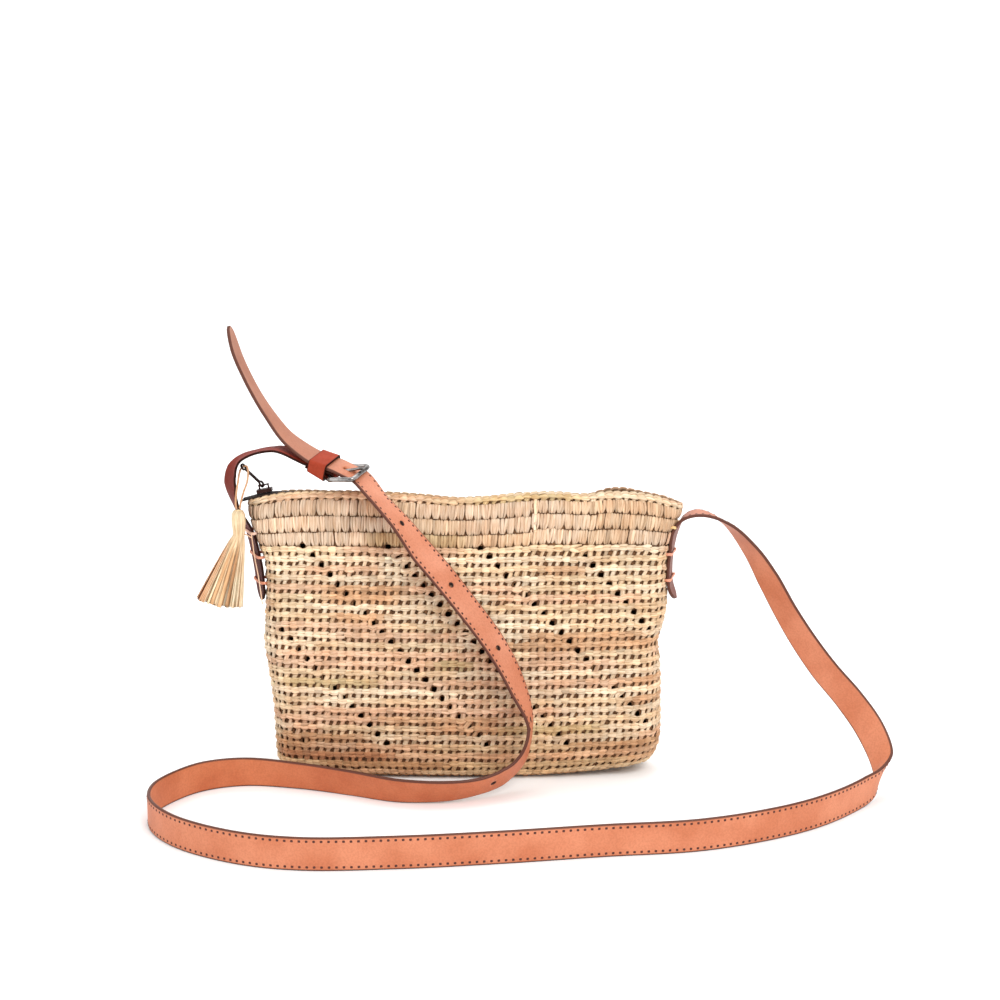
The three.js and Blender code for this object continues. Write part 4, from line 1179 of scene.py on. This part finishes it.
def hole_shade_ring(centre, way, across, face):
    """Dark ring on the wall of a punched hole: painted shade inside the hole."""
    inner, outer = HOLE_RADIUS - 0.2, HOLE_RADIUS + 0.25
    spot = [(inner, -0.95), (outer, -1.03), (outer, 1.03), (inner, 0.95)]
    rings = np.array([[centre + (way * math.cos(t) + across * math.sin(t)) * r + face * h for r, h in spot]
                      for t in turns(16)])
    return tubes(rings, True)


def make_straps():
    tan = leather_look("strap_leather", linear(208, 130, 94), linear(193, 112, 75), linear(86, 42, 26), 0.4)
    dark = leather_look("dark_leather", linear(168, 68, 46), linear(142, 54, 35), linear(44, 18, 12), 0.06)
    thread = thread_look("strap_thread", linear(84, 36, 24))
    # Painted shade: near-black rings line the walls of the punched holes.
    hole_shade_look = thread_look("hole_shade_ring", linear(46, 18, 10))
    climb = math.asin((STRAP_OVER_HEEL + STRAP_UNDER_END) / FRAME_LENGTH)
    low = np.array((FRAME_LENGTH - STRAP_UNDER_END * math.sin(climb), -STRAP_UNDER_END * math.cos(climb)))
    high = np.array((STRAP_OVER_HEEL * math.sin(climb), STRAP_OVER_HEEL * math.cos(climb)))
    through = [buckle_station(FRAME_AXES, *(low + (high - low) * t)) for t in (0, 0.33, 0.67, 1)]
    seat = [0, KEEPER_START + KEEPER_LENGTH, KEEPER_START + KEEPER_LENGTH / 2, KEEPER_START]
    over = [buckle_station(LAY_AXES, at, STRAP_OVER_HEEL) for at in seat]
    long_ribbon = Ribbon(LONG_TO_BUCKLE + through + over + LONG_TONGUE, 1.8)
    mesh = band_mesh("strap_long", long_ribbon, STRAP_WIDTH, STRAP_THICK, TAB_TIP, TONGUE_TIP, STRAP_LIGHT_AND_SHADE)
    target = in_buckle(FRAME_AXES, (8.8, 0, 1.3))
    pinned = long_ribbon.at[np.argmin(np.linalg.norm(long_ribbon.mid - target, axis=1))]
    places = pinned - np.arange(HOLE_COUNT) * HOLE_PITCH
    mid, way, across, face = long_ribbon.read(places)
    cutters = []
    for i in range(HOLE_COUNT):
        shape = circle(HOLE_RADIUS, 16, 2.8 if i == 0 else 0.0)
        cutters.append(prism(mid[i], way[i], across[i], face[i], shape, 2.2))
    piece("strap_long", drilled(mesh, cutters), tan, "strap_leather", "strap_long")
    hole_shade_rings = [hole_shade_ring(mid[i], way[i], across[i], face[i]) for i in range(1, HOLE_COUNT)]
    piece("strap_hole_linings", mesh_of("strap_hole_linings", *joined(*hole_shade_rings)), hole_shade_look, "strap_leather")
    rises = float(np.interp(40, long_ribbon.marks, long_ribbon.at))
    inner = strap_stitches(long_ribbon, 14, long_ribbon.length - 16, -1)
    outer = strap_stitches(long_ribbon, rises, pinned - 8, 1)
    piece("strap_long_thread", mesh_of("strap_long_thread", *joined(inner, outer)), thread, "strap_leather")

    lower = FOLD_RADIUS - SHORT_THICK - SEAT_GAP
    bends = np.arange(7) / 6 * math.pi
    fold = [(FOLD_RADIUS * math.sin(a), FOLD_RADIUS * math.cos(a)) for a in bends]
    lies = [(KEEPER_START - 3, FOLD_RADIUS - SEAT_GAP), (KEEPER_START, FOLD_RADIUS)]
    lies += [(KEEPER_START + KEEPER_LENGTH / 2, FOLD_RADIUS), (-4, FOLD_RADIUS)]
    lies += fold + [(at, lower - sink) for at, sink in FOLDED_TAIL]
    seats = [buckle_station(LAY_AXES, *lie) for lie in lies]
    turned = [(*s[:3], -s[3], -s[4], -s[5]) for s in seats]
    short_ribbon = Ribbon(SHORT_STATIONS + turned, 1.0)
    mesh = band_mesh("strap_short", short_ribbon, STRAP_WIDTH, SHORT_THICK, TAB_TIP, 0, SHORT_TINT_AND_SHADE)
    way, across, normal = LAY_AXES
    box = [(6.5, 2.6), (-6.5, 2.6), (-6.5, -2.6), (6.5, -2.6)]
    window = prism(BUCKLE_AT + way * 2.5, way, across, normal, box, 2 * FOLD_RADIUS)
    piece("strap_short", drilled(mesh, [window]), dark, "dark_leather", "strap_short")
    make_keeper(dark)


def rounded_path(length, width, corner, steps):
    """Closed rounded rectangle from (0, -width/2) to (length, width/2)."""
    path = []
    for x, y, start in ((length - corner, width / 2 - corner, 0), (corner, width / 2 - corner, 90),
                        (corner, corner - width / 2, 180), (length - corner, corner - width / 2, 270)):
        for i in range(steps + 1):
            a = math.radians(start + 90 * i / steps)
            path.append((x + corner * math.cos(a), y + corner * math.sin(a)))
    return np.array(path)


def make_keeper(material):
    low = KEEPER_LOW[0]
    high = STRAP_OVER_HEEL + STRAP_THICK / 2 + LAYER_GAP
    half = STRAP_WIDTH / 2 + LAYER_GAP + KEEPER_THICK / 2
    path = rounded_path(2 * half, high - low + KEEPER_THICK, 1.6, 5) - np.array((half, 0))
    path[:, 1] += (high + low) / 2
    out = way_out(path)
    section = band_section(KEEPER_THICK / 2)
    run = section[:, 0] * (KEEPER_LENGTH / 2 - 0.5) + 0.5 * np.sign(section[:, 0]) * section[:, 2]
    around = path[:, None] + out[:, None] * section[:, 1][None, :, None]
    share = run / KEEPER_LENGTH + 0.5
    deeper = (high - low + share * (low - KEEPER_LOW[1])) / (high - low)
    around[..., 1] = high - (high - around[..., 1]) * deeper
    along = np.broadcast_to(run + KEEPER_START + KEEPER_LENGTH / 2, around.shape[:2])
    points, quads = tubes(in_buckle(LAY_AXES, np.concatenate([along[..., None], around], -1)), True)
    lay = stacked(along, along, section[:, 3]).reshape(-1, 3)
    tint = np.ones((len(points), 3))
    piece("keeper", mesh_of("keeper", points, quads, tint, lay), material, "dark_leather", "keeper")


def make_buckle():
    nickel = metal_look("buckle_metal", linear(72, 68, 66), linear(172, 168, 166), (0.16, 0.36))
    path = rounded_path(FRAME_LENGTH, FRAME_WIDTH, FRAME_CORNER, 8)
    out = way_out(path)
    turn = turns(16)
    flat = path[:, None] + out[:, None] * (BAR_RADIUS * np.cos(turn))[None, :, None]
    high = np.broadcast_to(BAR_RADIUS * np.sin(turn), flat.shape[:2])
    points, quads = tubes(in_buckle(FRAME_AXES, np.concatenate([flat, high[..., None]], -1)), True)
    piece("buckle_frame", mesh_of("buckle_frame", points, quads), nickel, "buckle_metal", "buckle_frame")

    route, _ = curve_through([(x, 0, z) for x, z in PRONG_ROUTE], 5)
    taper = np.linspace(1, 0.78, len(route))
    taper[-1] = 0.3
    pin = stacked(
        route[:, None, 0],
        PRONG_RADIUS * 1.15 * taper[:, None] * np.cos(turn),
        route[:, None, 2] + PRONG_RADIUS * taper[:, None] * np.sin(turn))
    inner = BAR_RADIUS + SEAT_GAP
    profile = [(inner, -1.5), (inner + 0.5, -1.7), (inner + 0.9, -1.4), (inner + 0.9, 1.4),
               (inner + 0.5, 1.7), (inner, 1.5)]
    hoop = np.array([[(r * math.cos(s), y, r * math.sin(s)) for r, y in profile] for s in turns(28)])
    points, quads = joined(tubes(pin), tubes(hoop, True))
    mesh = mesh_of("buckle_prong", in_buckle(FRAME_AXES, points), quads)
    piece("buckle_prong", mesh, nickel, "buckle_metal", "buckle_prong")


def zip_height(x):
    return smooth_through(RIM, 1, x) + smooth_through(ZIP_COURSE, 1, x)


def make_zip():
    tape = tape_look()
    xs = np.arange(TAPE_SPAN[0], TAPE_SPAN[1] + 0.5, 1.5)
    z = zip_height(xs)
    for side, column, name in ((-1, 2, "zip_tape_front"), (1, 3, "zip_tape_back")):
        reach = smooth_through(ZIP_COURSE, column, xs)
        share = np.array((0, 0.25, 0.5, 0.75, 1))
        room = reach[:, None] - TAPE_INNER
        sag = -0.35 * np.sin(share * math.pi) * room / 8
        top = stacked(xs[:, None], side * (TAPE_INNER + room * share), z[:, None] + TAPE_THICK / 2 + sag)
        under = top[:, ::-1] - np.array((0, 0, TAPE_THICK))
        piece(name, mesh_of(name, *tubes(np.concatenate([top, under], 1))), tape, "zip_tape", name)
    make_teeth(coil_look())
    lacquer = metal_look("zip_metal", linear(34, 22, 20), linear(66, 44, 40), (0.4, 0.6))
    for name in ("zip_slider", "zip_pull"):
        obj = bpy.data.objects[name]
        obj.data.materials[0] = lacquer
        bevel = obj.modifiers.new("soft_edges", "BEVEL")
        bevel.width = METAL_BEVEL * MM
        bevel.segments = 2


def make_teeth(material):
    """Coil of the zip: bent loops from either side that meet along the middle."""
    xs = np.arange(COIL_SPAN[0], COIL_SPAN[1], TOOTH_PITCH / 2)
    side = np.where(np.arange(len(xs)) % 2 == 0, 1, -1)[:, None]
    y = side * np.array((1.55, 0.9, 0.0, -0.35))
    rise = np.array((0.0, 0.75, 0.85, 0.2))
    z = zip_height(xs)[:, None] + rise - 0.1
    turn = turns(6)
    section = TOOTH_RADIUS * stacked(np.cos(turn), 0, np.sin(turn))
    teeth = stacked(xs[:, None], y, z)[:, :, None] + section
    line = np.arange(COIL_SPAN[0], COIL_SPAN[1] + 0.5, 2.0)
    spot = [(-1.2, -0.9), (1.2, -0.9), (1.2, 0.2), (-1.2, 0.2)]
    core = np.array([[(x, y, zip_height(x) + h) for y, h in spot] for x in line])
    mesh = mesh_of("zip_coil", *joined(tubes(teeth), tubes(core)))
    piece("zip_coil", mesh, material, "zip_coil", "zip_coil")


def make_tassel():
    """Strips folded over the head and bound at its neck, fanned out to a slanting hem."""
    look = raffia_look("tassel_raffia", 0.55)
    t = TASSEL
    count = TASSEL_STRIPS
    steps = np.array((0.012, 0.05, 0.13, 0.21, 0.28, 0.36, 0.48, 0.64, 0.82, 1.0))
    neck = (t["top"] - t["neck"]) / (t["top"] - t["hem"])
    below = np.clip((steps - neck) / (1 - neck), 0, 1)
    turn = rng.uniform(0, 2 * math.pi, count)
    ring = np.sqrt(rng.uniform(0.12, 1, count))
    packed = (0.82 + 0.18 * ring)[:, None]
    head = smooth_through(TASSEL_HEAD, 1, steps * (t["top"] - t["hem"])) - 0.1
    fan = below**0.85
    loose = np.clip(below * 3, 0, 1)
    lies = packed * (1 - loose) + ring[:, None] * loose
    wide = np.where(steps < neck, head, 3.0) * (1 - fan) + t["spread"] * fan
    deep = np.where(steps < neck, head, 3.0) * (1 - fan) + t["deep"] * fan
    x = t["x"] + lies * np.cos(turn)[:, None] * wide + t["lean"] * below
    x = x + rng.normal(0, 0.4, (count, 1)) * below
    y = t["y"] + lies * np.sin(turn)[:, None] * deep + rng.normal(0, 0.4, (count, 1)) * below
    hem = t["hem"] - 0.19 * ring * np.cos(turn) * t["spread"] + rng.normal(0, 0.5, count)
    z = t["top"] + (hem - t["top"])[:, None] * steps
    mid = np.stack([x, y, z], -1)
    way = unit(np.gradient(mid, axis=1))
    outward = np.stack([np.cos(turn), np.sin(turn), np.zeros(count)], -1)
    face = unit(outward + rng.normal(0, 0.25, (count, 3)))[:, None]
    side = unit(np.cross(way, face))
    face = np.cross(side, way)
    half = rng.uniform(0.6, 1.25, count)[:, None] * (0.62 + 0.5 * fan)
    spot = np.array(((1, 0.0), (0.4, 0.16), (-0.4, 0.16), (-1, 0.0), (-0.4, -0.06), (0.4, -0.06)))
    rings = (mid[:, :, None] + side[:, :, None] * (half[..., None] * spot[:, 0])[..., None]
             + face[:, :, None] * spot[:, 1][:, None])
    lay = stacked((steps * 58)[None, :, None], half[..., None] * spot[:, 0],
                  np.arange(count)[:, None, None] * 1.37).reshape(-1, 3)
    # Painted shade: strips on the left of the skirt take the darker tones, and deeper strips are darkened.
    third = np.clip(((np.cos(turn) * ring + rng.normal(0.25, 0.2, count) + 1) * 1.5).astype(int), 0, 2)
    pick = rng.choice(4, count, p=(0.3, 0.26, 0.22, 0.22))
    tones = np.array(TASSEL_TONES)[third, pick] * (0.55 + 0.45 * ring)[:, None]
    pale = np.clip(1 - below * 4, 0, 1)[:, None]
    tint = tones[:, None] * (1 - pale) + TASSEL_TONES[2][1] * pale
    tint = np.repeat(np.clip(tint, 0, 1).reshape(-1, 3), 6, axis=0)
    plug, plug_lay = tassel_head()
    plug_tint = np.tile(linear(240, 216, 172), (len(plug_lay), 1))
    # Painted shade: a brown core fills the middle of the skirt.
    core = tassel_core()
    core_tint = np.tile(linear(176, 124, 76), (len(core[0]), 1))
    mesh = mesh_of("tassel", *joined(tubes(rings), plug, core), np.vstack([tint, plug_tint, core_tint]),
                   np.vstack([lay, plug_lay, np.zeros_like(core[0])]))
    piece("tassel", mesh, look, "tassel_raffia", "tassel")


def tassel_head():
    """Rounded plug under the strips of the head."""
    t = TASSEL
    turn = turns(28)
    downs = np.concatenate([[0, 0.35, 0.8], np.arange(1.4, 19.0, 0.3)])
    radius = smooth_through(TASSEL_HEAD, 1, downs)
    plump = np.maximum(radius - 0.35, 0.4)
    lean = t["lean"] * np.clip((downs - 16) / 42, 0, 1)
    rings = stacked(
        t["x"] + lean[:, None] + plump[:, None] * np.cos(turn),
        t["y"] + plump[:, None] * 0.95 * np.sin(turn),
        (t["top"] - downs)[:, None])
    return tubes(rings), stacked(turn[None] * 4, downs[:, None] * 1.4, 5.0).reshape(-1, 3)


def tassel_core():
    """Brown core in the middle of the skirt: painted shade between the strips."""
    t = TASSEL
    turn = turns(16)
    steps = np.linspace(0, 0.86, 6)
    flare = 0.2 + 0.5 * steps
    return tubes(stacked(
        t["x"] + t["lean"] * steps[:, None] + t["spread"] * flare[:, None] * np.cos(turn),
        t["y"] + t["deep"] * flare[:, None] * np.sin(turn),
        (t["neck"] + (t["hem"] - t["neck"]) * steps)[:, None]))


def make_lacings(look):
    """Raffia strands that bind the strap tabs to the sides of the pouch."""
    paths, colours, sizes = [], [], []
    for sign, z, colour in LACINGS:
        across = np.array(TAB_ACROSS[sign])
        face = np.cross((0, 0, 1), across)
        middle = np.array((tab_place(sign, z), 0, z))
        lift = 0.5 * (STRAP_THICK if sign > 0 else SHORT_THICK) + 0.4
        loop = [(5.5, -6), (9.9, -1.4), (10.1, 0), (9.4, lift), (0, lift + 0.15),
                (-9.4, lift), (-10.1, 0), (-9.9, -1.4), (-5.5, -6)]
        zs = rng.normal(0, 0.2, len(loop))
        route = [middle + across * a * sign + face * f + np.array((0, 0, h)) for (a, f), h in zip(loop, zs)]
        paths.append(curve_through(route, 5)[0])
        colours.append(colour)
        sizes.append((0.95, 0.4))
    length = len(paths[0])
    for route in LOOSE_STRANDS:
        line, _ = curve_through(route, 16)
        spread = np.linspace(0, len(line) - 1, length)
        paths.append(read_rows(spread, np.arange(len(line)), line))
        colours.append(linear(244, 212, 184))
        sizes.append((0.4, 0.35))
    paths, sizes = np.array(paths), np.array(sizes)[:, None, :, None]
    way = unit(np.gradient(paths, axis=1))
    side = unit(np.cross(way, np.array((0.1, 0.35, 1.0))))
    up = np.cross(side, way)
    turn = turns(6)
    rings = (paths[:, :, None] + up[:, :, None] * (sizes[:, :, 0] * np.cos(turn))[..., None]
             + side[:, :, None] * (sizes[:, :, 1] * np.sin(turn))[..., None])
    lay = stacked((np.arange(length) * 1.2)[None, :, None], 0.85 * np.cos(turn),
                  np.arange(len(paths))[:, None, None] * 2.1).reshape(-1, 3)
    tint = np.repeat(np.array(colours), length * 6, axis=0)
    piece("tab_lacings", mesh_of("tab_lacings", *tubes(rings), tint, lay), look, "raffia")


def tab_place(sign, z):
    """How far out the middle of a strap tab is at a height."""
    table = LONG_TO_BUCKLE[:5] if sign > 0 else SHORT_STATIONS[:5]
    return np.interp(z, [row[2] for row in table], [row[0] for row in table])


make_camera()
make_cord(raffia_look("cord_raffia", 0.6))
make_stage()
make_crochet(Pouch())
make_straps()
make_buckle()
make_zip()
make_tassel()
make_lacings(raffia_look("lacing_raffia", 0.6))
